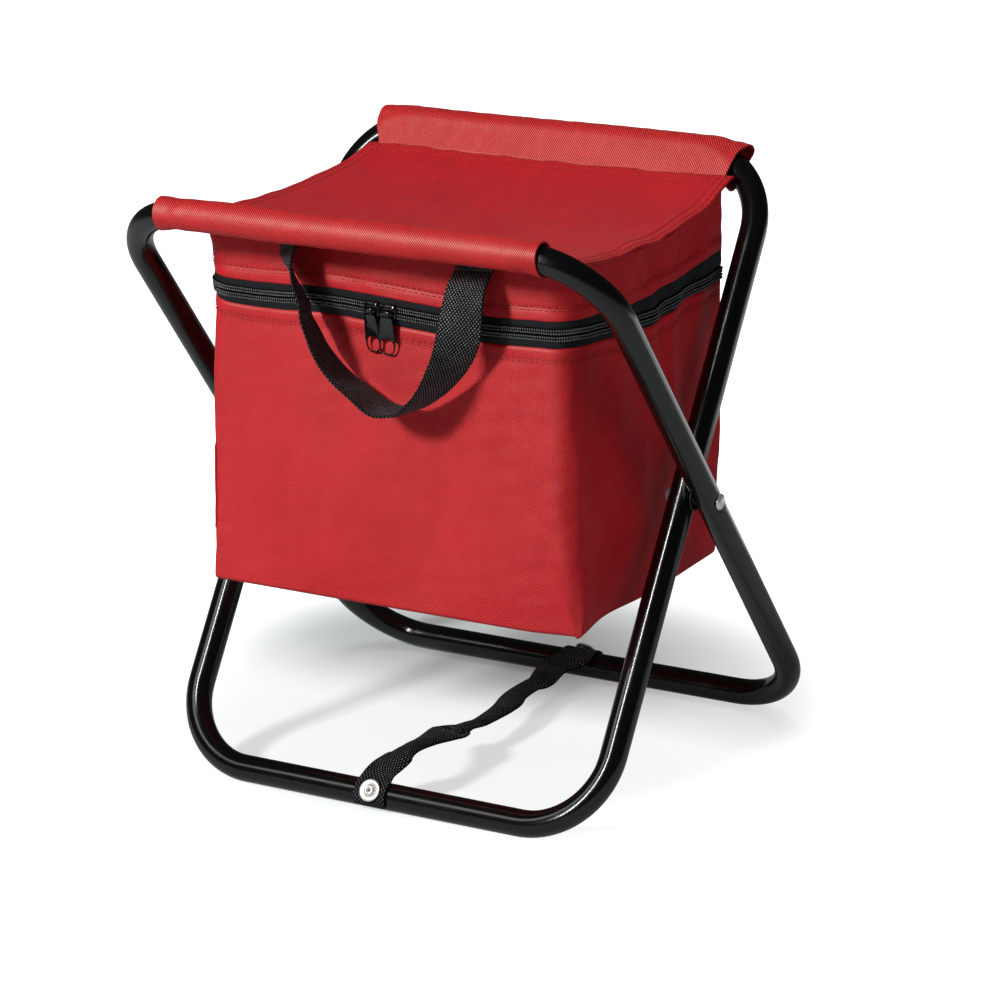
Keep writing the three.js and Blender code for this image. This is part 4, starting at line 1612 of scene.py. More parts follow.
        long = long * ease(z, 0.15, 0.2) * ease(0.292 - z, -0.01, 0.02)
        broad = 0.0011 * ripple(points * np.array([1.0, 1.0, 0.6]), 0.085, 41)
        folds = 0.0007 * ripple(points * np.array([1.0, 1.0, 0.25]), 0.03, 42) * (0.35 + sideways * 0.5)
        fine = 0.00018 * ripple(points, 0.012, 43)
        return pillow - foot_push + dent * sideways + pleats + (broad + folds + fine + long) * foot

    def wall(self, table: Columns, z: Array, inset: float = 0.0, hem: Array | float = 0.0) -> Array:
        """Points of the wall at given heights.

        Args:
            table: The columns.
            z: Heights, rows by columns.
            inset: Distance inside the outer face.
            hem: Extra distance outwards.

        Returns:
            Rows by columns of points.
        """
        xy = self._plan(table, z, inset)
        out = self.swell(table, self._plan(table, z, 0.0), z) + hem
        xy = xy + np.stack(np.broadcast_arrays(table["nx"] * out, table["ny"] * out), axis=-1)
        return np.concatenate([xy, z[..., None]], axis=-1)

    def zip_line(self, q: Array) -> Array:
        """Height of the zipper's middle at a length from the front's middle."""
        return self.zip_height + curve_at(self.zip_waves, q)


@dataclass
class Bag:
    """The hanging cooler bag with its lid, each of cloth, foam and lining."""

    shop: Workshop
    seat: Seat
    form: BagForm = field(default_factory=BagForm)
    hem_height: float = 0.0075
    front_limit: float = -0.0872
    spine: float = 0.09

    def build(self) -> None:
        """Builds the lid, the bag below the zipper, and the rows of stitching beside the zipper."""
        table = self.form.columns(120, 84, 16)
        self._lid(table)
        self._shell(table)
        self._trays(table)
        self._stitching()

    def _zipped(self, table: Columns) -> Array:
        """1 where the zipper runs, 0 along the rear hinge."""
        return 1.0 - ease(table["ny"], 0.15, 0.75)

    def _seam(self, table: Columns, reach: Knots, sign: float) -> Array:
        """Height at which the cloth starts, above (1) or below (-1) the zipper's dark band."""
        dark = curve_at(reach, table["q"]) * self._zipped(table) + 0.0003
        return self.form.zip_line(table["q"]) + sign * dark

    def _hem(self, table: Columns, distance: Array) -> Array:
        """Swelling of the folded hem, and the dent of its stitches, by distance from the seam."""
        ridge = bell(distance, 0.0035, 0.0028) - bell(distance, self.hem_height, 0.0012)
        return 0.0004 * ridge * self._zipped(table)

    def _lid(self, table: Columns) -> None:
        """The lid's cloth band from the zipper up to the seat's underside.

        Args:
            table: The columns.
        """
        start = self._seam(table, self.form.tape_above, 1.0)
        xy = self.form.wall(table, np.full((1, len(start)), 0.328))[0]
        end = self.seat.surface(xy[:, 0], self._kept(xy[:, 1]))[:, 2] - self.seat.thickness - 0.0002
        share = np.linspace(0.0, 1.0, 40)[:, None]
        z = start + (end - start) * share
        hang = 0.0009 * ripple(np.stack([table["q"], table["q"] * 0], axis=1), 0.026, 55)
        hang = hang * share * (1 - share) * 3
        points = self.form.wall(table, z, hem=self._hem(table, z - start) + hang)
        points[..., 1] = self._kept(points[..., 1])
        band = Grid(points, self._cloth(table, z)).build("lid_band_cloth")
        thickened(band, CLOTH_THICKNESS)
        self.shop.finish(band, Body.SEAT, Look.CLOTH, ["lid_band"], soft=True)

    def _kept(self, y: Array, inset: float = 0.0) -> Array:
        """Keeps the lid's front clear of the front sleeve's tail."""
        return np.maximum(y, self.front_limit + inset)

    def _cloth(self, table: Columns, z: Array) -> Array:
        """Cloth places: length round the bag, and height.

        Args:
            table: The columns.
            z: Heights, rows by columns.

        Returns:
            One place for each grid corner.
        """
        u = np.broadcast_to(table["length"], (z.shape[0], len(table["length"])))
        v = np.concatenate([z, z[:, :1]], axis=1)
        return np.stack([u, v], axis=-1)

    def _shell(self, table: Columns) -> None:
        """The cloth box below the zipper, with a rounded bottom edge and a slack floor.

        Args:
            table: The columns.
        """
        start = self._seam(table, self.form.tape_below, -1.0)
        share = np.linspace(0.0, 1.0, 90)[:, None]
        share = 1.0 - (1.0 - share) ** 1.15
        edge = 0.0022
        z = start + (self.form.bottom + edge - start) * share
        wall = self.form.wall(table, z, hem=self._hem(table, start - z))
        floor = self._floor(table, wall[-1], edge)
        points = np.concatenate([wall, floor])
        heights = np.concatenate([z, z[-1:] - np.cumsum(np.full(len(floor), 0.004))[:, None]])
        piece = Grid(points, self._cloth(table, heights)).build("bag_cloth")
        thickened(piece, CLOTH_THICKNESS)
        self.shop.finish(piece, Body.BAG, Look.CLOTH, ["bag_shell"], soft=True)

    def _floor(self, table: Columns, ring: Array, edge: float, sag: float = 0.0015) -> Array:
        """Rings from the wall's last row round the bottom edge and in to the floor's middle.

        Args:
            table: The columns.
            ring: The wall's last row.
            edge: Radius of the bottom edge.
            sag: How far the middle hangs below the edge.

        Returns:
            Rows of points, the last one nearly a line.
        """
        turns = np.linspace(0.0, math.pi / 2, 7)[1:]
        normal = np.stack([table["nx"], table["ny"], np.zeros(len(ring))], axis=1)
        down = np.array([0.0, 0.0, -edge])
        rows = [ring - normal * edge * (1 - math.cos(a)) + down * math.sin(a) for a in turns]
        last = rows[-1]
        inner, rise = self._inward(last)
        inner[..., 2] += sag * rise * 0.6
        inner[..., 2] += 0.0006 * ripple(inner, 0.06, 61) * rise
        return np.concatenate([rows, inner])

    def _inward(self, ring: Array) -> tuple[Array, Array]:
        """Rings from an outline in to a line along its middle: ring + (line - ring) * share.

        Args:
            ring: The outline.

        Returns:
            The rings, and for each the sine of a quarter turn times its share.
        """
        line = ring.copy()
        line[:, 0] = np.clip(ring[:, 0], -self.spine, self.spine)
        line[:, 1] = ring[:, 1].mean()
        share = np.linspace(0.0, 0.985, 26)[1:, None]
        return ring + (line - ring) * share[..., None], np.sin(share * math.pi / 2)

    def _trays(self, table: Columns) -> None:
        """Foam and lining of the bag and of the lid, which show when the bag is open.

        Args:
            table: The columns.
        """
        split = 0.0006
        layers = (("foam", 0.0021, 0.0036, Look.FOAM), ("lining", 0.0060, 0.0008, Look.FOIL))
        for name, inset, thick, look in layers:
            top = self.form.zip_line(table["q"]) - split
            share = np.linspace(0.0, 1.0, 60)[:, None]
            z = top + (self.form.bottom + inset + 0.004 - top) * share
            wall = self.form.wall(table, z, inset)
            if look is Look.FOIL:
                wall[..., :2] += self._crinkle(table, wall)
            floor = self._floor(table, wall[-1], 0.004)
            tray = Grid(np.concatenate([wall, floor])).build(f"bag_{name}_layer")
            thickened(tray, thick)
            self.shop.finish(tray, Body.BAG, look, [f"bag_{name}"], soft=True)
            lid = self._lid_layer(table, inset, split, look).build(f"lid_{name}_layer")
            thickened(lid, thick)
            self.shop.finish(lid, Body.SEAT, look, [f"lid_{name}"], soft=True)

    def _crinkle(self, table: Columns, points: Array) -> Array:
        """Small inward crinkles of the lining, in X and Y."""
        depth = -0.0004 * (1.0 + ripple(points, 0.018, 71))
        return np.stack([table["nx"] * depth, table["ny"] * depth], axis=-1)

    def _lid_layer(self, table: Columns, inset: float, split: float, look: Look) -> Grid:
        """A layer under the seat: walls up from the zipper, then in under the panel.

        Args:
            table: The columns.
            inset: Distance inside the outer cloth.
            split: Distance above the zipper's middle.
            look: The layer's finish.

        Returns:
            The layer's outer surface.
        """
        start = self.form.zip_line(table["q"]) + split
        xy = self.form.wall(table, np.full((1, len(start)), 0.322), inset)[0]
        drop = self.seat.thickness + inset + 0.0012
        end = self.seat.surface(xy[:, 0], xy[:, 1])[:, 2] - drop
        share = np.linspace(0.0, 1.0, 16)[:, None]
        wall = self.form.wall(table, start + (end - start) * share, inset)
        wall[..., 1] = self._kept(wall[..., 1], inset)
        if look is Look.FOIL:
            wall[..., :2] += self._crinkle(table, wall)
        inner, _ = self._inward(wall[-1])
        under = self.seat.surface(inner[..., 0], inner[..., 1]) - np.array([0.0, 0.0, drop])
        return Grid(np.concatenate([wall, under]))

    def _stitching(self) -> None:
        """Two rows of red thread above the zipper and two below."""
        path = ZipPath(self.form, 900)
        above = curve_at(self.form.tape_above, path.q)
        below = curve_at(self.form.tape_below, path.q)
        for name, body, start, sign in (
            ("lid_stitches", Body.SEAT, above, 1.0),
            ("bag_stitches", Body.BAG, below, -1.0),
        ):
            rows = []
            for extra in (self.hem_height - 0.001, self.hem_height + 0.0011):
                rows.append((path.at(sign * (start + extra), 0.0003), path.normals))
            thread = Stitches().build(name, rows)
            self.shop.finish(thread, body, Look.RED_THREAD, soft=True)


class ZipPath:
    """The zipper's way round the bag: up the right side, along the front, and down the left side."""

    def __init__(self, form: BagForm, count: int) -> None:
        """Samples the way.

        Args:
            form: The bag's form.
            count: How many points it gets.
        """
        self.form = form
        dense = form.columns(400, 300, 60)
        used = dense["ny"] < 0.45
        self.q = np.linspace(dense["q"][used].min(), dense["q"][used].max(), count)
        kept = ("across", "deep", "nx", "ny")
        self.table = {key: np.interp(self.q, dense["q"], dense[key]) for key in kept}
        self.z = form.zip_line(self.q)
        self.normals = unit(np.stack([self.table["nx"], self.table["ny"], np.zeros(count)], axis=1))

    def at(self, offset: Array | float, out: Array | float) -> Array:
        """Points beside the zipper's middle.

        Args:
            offset: Distance above the middle.
            out: Distance outwards of the bag's face.

        Returns:
            One point for each place of the way.
        """
        z = self.z + offset
        return self.form.wall(self.table, z[None, :], hem=out)[0]


# Zipper


@dataclass
class Zipper:
    """Tapes, coils, two sliders and their pulls.

    Attributes:
        coil_height: Height of one coil.
        coil_depth: How far a coil stands out.
        tooth: Distance from tooth to tooth.
        gap: Gap between the tapes.
        meet: X at which the sliders meet.
        slider_half: Half the distance of their middles.
        tilt: How far the pulls' lower ends lean towards the bag, in radians.
    """

    shop: Workshop
    form: BagForm
    coil_height: float = 0.0036
    coil_depth: float = 0.0017
    tooth: float = 0.00145
    gap: float = 0.0003
    meet: float = -0.0014
    slider_half: float = 0.0058
    tilt: float = 0.05

    def build(self) -> None:
        """Builds every part of the zipper."""
        self._tapes()
        self._coils()
        for side, label in ((-1, "left"), (1, "right")):
            self._slider(side, label)

    def _tapes(self) -> None:
        """The two tapes: flat strips that dip under the coils and tuck under the hems."""
        path = ZipPath(self.form, 760)
        shares = np.array([0.0, 0.12, 0.3, 0.45, 0.6, 0.75, 0.88, 1.0])
        outs = np.array([0.1, 0.1, 0.2, 0.4, 0.4, 0.2, -0.3, -0.7]) / 1000.0
        for label, sign, body, shown in (
            ("upper", 1, Body.SEAT, self.form.tape_above),
            ("lower", -1, Body.BAG, self.form.tape_below),
        ):
            reach = curve_at(shown, path.q) + 0.0015 - self.gap / 2
            rows = [path.at(sign * (self.gap / 2 + reach * s), out) for s, out in zip(shares, outs)]
            points = np.stack(rows, axis=1)
            u = lengths_along(points[:, 0])
            cloth = np.stack(np.meshgrid(u, shares * 0.0088, indexing="ij"), axis=-1)
            tape = Grid(points, cloth, wrap_columns=False).build(f"zip_tape_{label}")
            thickened(tape, 0.0006)
            self.shop.finish(tape, body, Look.TAPE, [f"zipper_tape_{label}"], soft=True)

    def _coils(self) -> None:
        """The coils: two ridges of teeth each, with a groove between them where they are sewn down."""
        path = ZipPath(self.form, 3600)
        length = float(lengths_along(path.at(0.0, 0.0))[-1])
        phase = np.linspace(0.0, math.pi * length / self.tooth, len(path.q))
        profile = (
            (0.0, -0.1), (0.03, 0.5), (0.12, 0.9), (0.25, 1.0), (0.38, 0.85), (0.5, 0.55), (0.62, 0.85),
            (0.75, 1.0), (0.88, 0.8), (1.0, 0.3), (1.0, -0.1),
        )
        for label, sign, body, shift in (("upper", 1, Body.SEAT, 0.8), ("lower", -1, Body.BAG, 0.0)):
            columns: list[Array] = []
            places: list[Array] = []
            for height, depth in profile:
                ridge = 0.55 + 0.45 * np.abs(np.sin(phase + shift + height * 0.9))
                out = 0.0002 + depth * self.coil_depth * ridge
                columns.append(path.at(sign * (self.gap / 2 + height * self.coil_height), out))
                places.append((phase + shift + height * 0.9) / math.pi * self.tooth)
            v = np.stack([*places, places[0]], axis=1)
            u = np.array([height for height, _ in (*profile, profile[0])]) * self.coil_height
            cloth = np.stack(np.broadcast_arrays(u, v), axis=-1)
            coil = Grid(np.stack(columns, axis=1), cloth, caps=True).build(f"zip_coil_{label}")
            self.shop.finish(coil, body, Look.CHAIN, [f"zipper_coil_{label}"], soft=True)

    def _slider(self, side: int, label: str) -> None:
        """One slider with its bail, and the pull that hangs from the bail.

        Args:
            side: -1 on the left, 1 on the right.
            label: The side's name.
        """
        x = self.meet + side * self.slider_half
        q = np.array([x])
        z = float(self.form.zip_line(q)[0])
        table = {"across": np.array([x / 0.1]), "deep": np.zeros(1), "nx": np.zeros(1), "ny": -np.ones(1)}
        face = float(self.form.wall(table, np.full((1, 1), z))[0, 0, 1]) - self.coil_depth - 0.0004
        body = Body.SLIDER_LEFT if side < 0 else Body.SLIDER_RIGHT
        slider = joined([self._plate(x, face, z), self._bail(x, face, z)], f"zip_slider_{label}")
        softened(slider, 0.00028)
        self.shop.finish(slider, body, Look.ENAMEL, [f"zipper_slider_{label}"], soft=True)
        pull = self._pull(x, face - 0.0031, z - 0.0006, 0.06 * side)
        hand = Body.PULL_LEFT if side < 0 else Body.PULL_RIGHT
        pull.name = f"zip_pull_{label}"
        self.shop.finish(pull, hand, Look.ENAMEL, [f"zipper_pull_{label}"], soft=True)

    def _plate(self, x: float, face: float, z: float) -> Piece:
        """The slider's crowned face plate with flanges over the coils.

        Its outline is |x / a|^3.2 + |z / b|^3.2 = 1.

        Args:
            x: Its middle.
            face: Y of the coils' face.
            z: Its height.

        Returns:
            The plate.
        """
        angles = np.linspace(0.0, 2.0 * math.pi, 40, endpoint=False)
        outline = superellipse(angles, 0.0053, 0.0048, 3.2)
        layers = [(0.0018, 0.99), (0.0, 1.0), (-0.0007, 0.97)]
        layers += [(-0.0012, 0.86), (-0.0014, 0.6), (-0.0015, 0.25)]
        rows = [
            np.column_stack([x + outline[:, 0] * k, np.full(len(angles), face + dy), z + outline[:, 1] * k])
            for dy, k in layers
        ]
        return Grid(np.array(rows), caps=True).build("slider_plate")

    def _bail(self, x: float, face: float, z: float) -> Piece:
        """The arch that the pull hangs from, swept along a half oval across the slider.

        Args:
            x: Its middle.
            face: Y of the coils' face.
            z: Its height.

        Returns:
            The arch.
        """
        a = np.linspace(0.0, math.pi, 25)
        y = face - 0.0008 - 0.0032 * np.sin(a)
        path = np.stack([x + 0.0040 * np.cos(a), y, np.full(len(a), z)], axis=1)
        along = directions_along(path)
        up = np.tile([0.0, 0.0, 1.0], (len(a), 1))
        side = unit(np.cross(along, up))
        ring = np.linspace(0.0, 2.0 * math.pi, 14, endpoint=False)
        outline = np.stack([0.0006 * np.cos(ring), 0.0016 * np.sin(ring)], axis=1)
        return Grid(sweep(path, side, up, outline), caps=True).build("slider_bail")

    def _pull(self, x: float, y: float, z: float, turn: float) -> Piece:
        """The pull: a rolled eye, and a tab with a tall hole near its round lower end.

        Args:
            x: Middle of the bail.
            y: Y of the bail's bar.
            z: Height of the bail's bar.
            turn: How far it hangs out of plumb, in radians.

        Returns:
            The pull.
        """
        t = np.linspace(0.0, 2.0 * math.pi, 96, endpoint=False)
        top, low, half = -0.0004, -0.0243, 0.0049 + (0.0005 if x > self.meet else 0.0)
        tab_middle = np.array([0.0, (top + low) / 2])
        tab = superellipse(t, half, (top - low) / 2, 3.4) + tab_middle
        tab[:, 0] *= 0.88 + 0.12 * ease(tab[:, 1], -0.008, -0.016)
        hole_middle = np.array([0.0, low + 0.0009 + 0.0044])
        hole = superellipse(t, half - 0.00095, 0.0044, 2.6) + hole_middle
        sides = ((0.0006, 0.0003), (0.00035, 0.0), (-0.00035, 0.0), (-0.0006, 0.0003))
        rings = []
        for outline, middle, bevel in ((tab, tab_middle, -1.0), (hole, hole_middle, 1.0)):
            for depth, edge in sides if bevel < 0 else sides[::-1]:
                away = unit(outline - middle)
                flat = outline + away * edge * bevel
                rings.append(np.column_stack([flat[:, 0], np.full(len(t), depth), flat[:, 1]]))
        plate = Grid(np.array(rings), wrap_rows=True).build("pull_tab")
        a = np.linspace(0.0, 2.0 * math.pi, 28, endpoint=False)
        radii = ((1.0, -2.6), (1.8, -2.6), (1.9, -2.5), (1.9, 2.5), (1.8, 2.6), (1.0, 2.6))
        bands = [np.stack([np.full(len(a), w), r * np.cos(a), r * np.sin(a)], axis=1) for r, w in radii]
        eye = Grid(np.array(bands) / 1000.0, wrap_rows=True).build("pull_eye")
        pull = joined([plate, eye], "zip_pull")
        softened(pull, 0.00012)
        hang = Matrix.Rotation(turn, 4, "Y") @ Matrix.Rotation(self.tilt, 4, "X")
        pull.data.transform(Matrix.Translation((x, y, z)) @ hang)
        return pull


def superellipse(angles: Array, a: float, b: float, power: float) -> Array:
    """Points of the outline |x / a|^power + |y / b|^power = 1.

    Args:
        angles: Parameter of each point, in radians.
        a: Half the width.
        b: Half the height.
        power: 2 gives an ellipse, more gives squarer corners.

    Returns:
        One point for each angle.
    """
    circle = np.stack([np.cos(angles), np.sin(angles)], axis=1)
    return np.array([a, b]) * np.sign(circle) * np.abs(circle) ** (2.0 / power)


def joined(parts: Sequence[Piece], name: str) -> Piece:
    """Joins objects into one.

    Args:
        parts: The objects.
        name: Name of the result.

    Returns:
        The joined object.
    """
    first, group = parts[0], list(parts)
    with bpy.context.temp_override(
        active_object=first, object=first, selected_objects=group, selected_editable_objects=group
    ):
        bpy.ops.object.join()
    first.name = name
    first.data.name = name
    return first


# Webbing


def band_outline(width: float, thickness: float) -> Array:
    """The rounded section of a webbing band.

    Args:
        width: The band's width.
        thickness: The band's thickness.

    Returns:
        Points of the outline, anticlockwise.
    """
    half, t = width / 2, thickness / 2
    flat = np.linspace(-half + t, half - t, 13)
    turn = np.linspace(-math.pi / 2, math.pi / 2, 7)[1:-1]
    lower = np.column_stack([flat, np.full(13, -t)])
    right = np.column_stack([half - t + t * np.cos(turn), t * np.sin(turn)])
    upper = np.column_stack([flat[::-1], np.full(13, t)])
    left = np.column_stack([-half + t - t * np.cos(turn), -t * np.sin(turn)])
    return np.vstack([lower, right, upper, left])


@dataclass
class Band:
    """A webbing band along a path.

    Attributes:
        path: The band's middle line.
        side: Direction across the band at each point; it is turned square to the path.
        width: The band's width, or one for each point.
        bow: How far the middle stands above the edges at each point.
    """

    path: Array
    side: Array
    width: Array | float
    thickness: float
    bow: Array | float = 0.0

    def __post_init__(self) -> None:
        """Turns the side directions square to the path."""
        along = directions_along(self.path)
        self.across = unit(self.side - (self.side * along).sum(axis=1, keepdims=True) * along)
        self.face = np.cross(along, self.across)
        self.widths = np.broadcast_to(self.width, (len(self.path),))
        self.bows = np.broadcast_to(self.bow, (len(self.path),))

    @property
    def length(self) -> float:
        """Length of the band."""
        return float(lengths_along(self.path)[-1])

    def build(self, name: str) -> Piece:
        """Makes the band with cloth places across and along it.

        The middle of the section is raised by bow * (1 - (2 u)^2), where u runs from -1/2 to 1/2 across.

        Args:
            name: The object's name.

        Returns:
            The new object.
        """
        mean = float(np.mean(self.widths))
        outline = band_outline(mean, self.thickness)
        u = outline[:, 0] / mean
        across = outline[None, :, :1] * (self.widths / mean)[:, None, None]
        up = outline[None, :, 1:] + (self.bows[:, None] * (1.0 - (2.0 * u) ** 2))[..., None]
        points = self.path[:, None] + self.across[:, None] * across + self.face[:, None] * up
        ring = np.append(outline[:, 0], outline[0, 0])
        cloth = np.stack(np.meshgrid(lengths_along(self.path), ring, indexing="ij")[::-1], axis=-1)
        return Grid(points, cloth, caps=True).build(name)

    def rows(self, inset: float, start: float, stop: float) -> list[tuple[Array, Array]]:
        """Lines for a boxed row of stitches on the band's face.

        Args:
            inset: Distance from the band's edges.
            start: Share of the length where the box starts.
            stop: Share where it ends.

        Returns:
            One closed line with its normals.
        """
        half = float(np.mean(self.widths)) / 2 - inset
        corners = np.array([[-half, start], [half, start], [half, stop], [-half, stop], [-half, start]])
        parts = [np.linspace(a, b, 24) for a, b in zip(corners[:-1], corners[1:])]
        flat = np.vstack(parts)
        shares = np.linspace(0.0, 1.0, len(self.path))
        base, across, face = (
            np.stack([np.interp(flat[:, 1], shares, table[:, k]) for k in range(3)], axis=1)
            for table in (self.path, self.across, self.face)
        )
        return [(base + across * flat[:, :1] + face * (self.thickness / 2 + 0.0001), face)]


@dataclass
class Handle:
    """The webbing carry handle: a bow that hangs edge-on at its lowest point, between two sewn ends.

    Attributes:
        knots: Places of the bow's middle line, and how far its side turns from the line's own normal
            towards +Y, in degrees.
        left_end: The same for the left sewn end, downwards.
        right_end: The same for the right one, upwards.
    """

    shop: Workshop
    width: float = 0.025
    thickness: float = 0.0017
    knots: Knots = (
        (-0.0583, -0.0919, 0.3235, -36.0), (-0.0568, -0.0944, 0.3188, -44.0),
        (-0.0540, -0.0965, 0.3131, -53.0), (-0.0483, -0.1000, 0.3044, -62.0),
        (-0.0432, -0.1030, 0.2972, -66.0), (-0.0404, -0.1050, 0.2893, -69.0),
        (-0.0364, -0.1056, 0.2813, -73.0), (-0.0326, -0.1056, 0.2730, -76.0),
        (-0.0269, -0.1056, 0.2651, -80.0), (-0.0191, -0.1056, 0.2573, -83.0),
        (-0.0081, -0.1056, 0.2500, -86.0), (0.0066, -0.1056, 0.2414, -90.0),
        (0.0200, -0.1056, 0.2413, -86.0), (0.0274, -0.1056, 0.2435, -82.0),
        (0.0406, -0.1056, 0.2546, -72.0), (0.0498, -0.1056, 0.2663, -59.0),
        (0.0574, -0.1056, 0.2796, -45.0), (0.0613, -0.1050, 0.2929, -26.0),
        (0.0625, -0.1030, 0.3050, -9.0), (0.0622, -0.0970, 0.3160, -2.0),
        (0.0618, -0.0880, 0.3230, 0.0),
    )
    left_end: Knots = (
        (-0.0605, -0.0855, 0.3322, -27.0), (-0.0594, -0.0886, 0.3278, -31.0),
        (-0.0584, -0.0916, 0.3240, -35.5),
    )
    right_end: Knots = (
        (0.0618, -0.0874, 0.3235, 0.0), (0.0616, -0.0856, 0.3275, 0.0), (0.0614, -0.0846, 0.3322, 0.0),
    )

    def build(self) -> None:
        """Builds the bow and the two sewn ends."""
        bow = self._band(self.knots, 170)
        piece = bow.build("handle_bow")
        self.shop.finish(piece, Body.HANDLE, Look.WEBBING, ["carry_handle"], soft=True)
        bow.length
        for knots, label in ((self.left_end, "left"), (self.right_end, "right")):
            tab = self._band(knots, 14)
            end = tab.build(f"handle_tab_{label}")
            self.shop.finish(end, Body.SEAT, Look.WEBBING, [f"handle_end_{label}"], soft=True)
            rows = tab.rows(0.002, 0.15, 0.85)
            thread = Stitches(0.0022, 0.0008, 0.00025).build(f"handle_thread_{label}", rows)
            self.shop.finish(thread, Body.SEAT, Look.BLACK_THREAD, soft=True)

    def _band(self, knots: Knots, count: int) -> Band:
        """Webbing through knots: its side is cos(turn) n + sin(turn) Y, with n square to path and Y.

        Args:
            knots: Places and turns.
            count: Points along it.

        Returns:
            The band.
        """
        scale = np.array([1.0, 1.0, 1.0, 0.0004])
        line = spline(np.array(knots) * scale, count) / scale
        path = line[:, :3]
        turn = np.radians(line[:, 3:])
        deep = np.array([0.0, 1.0, 0.0])
        normal = unit(np.cross(directions_along(path), deep))
        return Band(path, np.cos(turn) * normal + np.sin(turn) * deep, self.width, self.thickness)


@dataclass
class Strap:
    """The spreader strap between the bottom rails, with a rivet and washer at each end.

    Attributes:
        width: The webbing's width where it lies flat.
        run: Y as a share of the rails' distance, and height as a share of 28 mm, along its free run.
        left: X of its left edge, by Y.
        right: X of its right edge, by Y.
        front_rivet: X of the front rivet.
        slack: Gap between the strap and a rail.
    """

    shop: Workshop
    frame: Frame
    width: float = 0.024
    thickness: float = 0.0014
    run: Knots = (
        (-0.86, 0.93), (-0.755, 1.0), (-0.515, 0.857), (-0.257, 0.66), (0.0, 0.59), (0.3, 0.554),
        (0.6, 0.51), (0.84, 0.52),
    )
    left: Knots = (
        (-0.1181, -0.0132), (-0.1110, -0.0118), (-0.1058, -0.0085), (-0.0951, -0.0015),
        (-0.0840, -0.0010), (-0.0737, -0.0018), (-0.0560, -0.0062), (-0.0420, -0.0104),
        (-0.0396, -0.0104), (-0.0366, -0.0038), (-0.0260, -0.0004), (-0.0170, 0.0016),
        (0.0110, -0.0007), (0.0326, -0.0056), (0.0570, -0.0067), (0.0651, -0.0062), (0.0912, -0.0138),
        (0.0985, -0.0128), (0.1016, -0.0109), (0.1100, -0.0104),
    )
    right: Knots = (
        (-0.1174, 0.0085), (-0.1111, 0.0087), (-0.1012, 0.0130), (-0.0952, 0.0121), (-0.0726, 0.0137),
        (-0.0494, 0.0168), (-0.0284, 0.0101), (-0.0144, 0.0132), (0.0169, 0.0143), (0.0340, 0.0100),
        (0.0515, 0.0090), (0.0612, 0.0123), (0.0843, 0.0088), (0.0999, 0.0140), (0.1121, 0.0132),
    )
    front_rivet: float = -0.0018
    slack: float = 0.0003

    def build(self) -> None:
        """Builds the strap, then both rivets.

        A width w squeezed out of the flat width f makes the section bow by sqrt(3 w (f - w) / 8).
        """
        path = self._path()
        left = curve_at(self.left, path[:, 1])
        right = curve_at(self.right, path[:, 1])
        share = np.linspace(0.0, 1.0, len(path))
        free = ease(share, 0.06, 0.16) * ease(share, 0.94, 0.84)
        path[:, 0] = (left + right) / 2
        widths = right - left
        squeezed = np.maximum(self.width - widths, 0.0)
        bow = np.minimum(np.sqrt(0.375 * widths * squeezed), 0.0026) * free
        side = np.tile([1.0, 0.0, 0.0], (len(path), 1))
        strap = Band(path, side, widths, self.thickness, -bow)
        piece = strap.build("strap_webbing")
        self.shop.paint.dress(piece, Look.STRAP)
        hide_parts("spreader_strap")
        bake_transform(piece)
        area = float(widths.mean()) * strap.length * 1.03
        strap.length
        self._rivet(-1, "front", Body.INNER, self.front_rivet)
        self._rivet(1, "rear", Body.OUTER, 0.0)

    def _path(self) -> Array:
        """The strap's middle line: round the front rail, along its free run, and round the rear rail.

        Returns:
            Its points, at X of 0.
        """
        loop = self.frame.inner
        reach = loop.radius + self.slack + self.thickness / 2
        half = loop.bottom_spread

        def arc(end: int, start: float, stop: float) -> Array:
            """Points round a rail, between two directions in degrees."""
            a = np.radians(np.linspace(start, stop, 9))
            return np.column_stack([end * (half + reach * np.cos(a)), loop.bottom_height + reach * np.sin(a)])

        middle = np.array(self.run) * np.array([half, 0.028])
        line = spline(np.vstack([arc(-1, -25, 62), middle, arc(1, 100, -25)]), 240)
        return np.column_stack([np.zeros(len(line)), line])

    def _rivet(self, end: int, label: str, body: Body, x: float) -> None:
        """A tubular rivet with a domed, hollow head over a dished washer.

        Args:
            end: -1 in front, 1 at the rear.
            label: The end's name.
            body: The body it rides on.
            x: Its X.
        """
        loop = self.frame.inner
        up = loop.leg_direction()
        axis = (0.0, end * up[1], abs(up[0]))
        origin = (x, end * loop.bottom_spread, loop.bottom_height)
        seat = loop.radius + self.slack + self.thickness + 0.0002
        washer = [
            (0.0022, seat + 0.0002), (0.0052, seat + 0.0001), (0.0064, seat), (0.00675, seat + 0.0003),
            (0.0066, seat + 0.0008), (0.0058, seat + 0.0010), (0.0045, seat + 0.0007),
            (0.0022, seat + 0.0007), (0.0022, seat + 0.0002),
        ]
        ring = turned(washer, origin, axis, f"strap_washer_dish_{label}")
        self.shop.finish(ring, body, Look.STEEL, [f"strap_washer_{label}"])
        head = [
            (0.00001, seat - 0.0030), (0.0009, seat - 0.0029), (0.0010, seat + 0.0015),
            (0.0013, seat + 0.0019), (0.0020, seat + 0.00215), (0.0028, seat + 0.0019),
            (0.0034, seat + 0.0013), (0.0035, seat + 0.0009), (0.0019, seat + 0.0008), (0.0019, 0.0058),
            (0.0026, 0.0056), (0.0026, 0.0032), (0.00001, 0.0030),
        ]
        rivet = turned(head, origin, axis, f"strap_rivet_head_{label}")
        self.shop.finish(rivet, body, Look.STEEL, [f"strap_rivet_{label}"])


# Studio


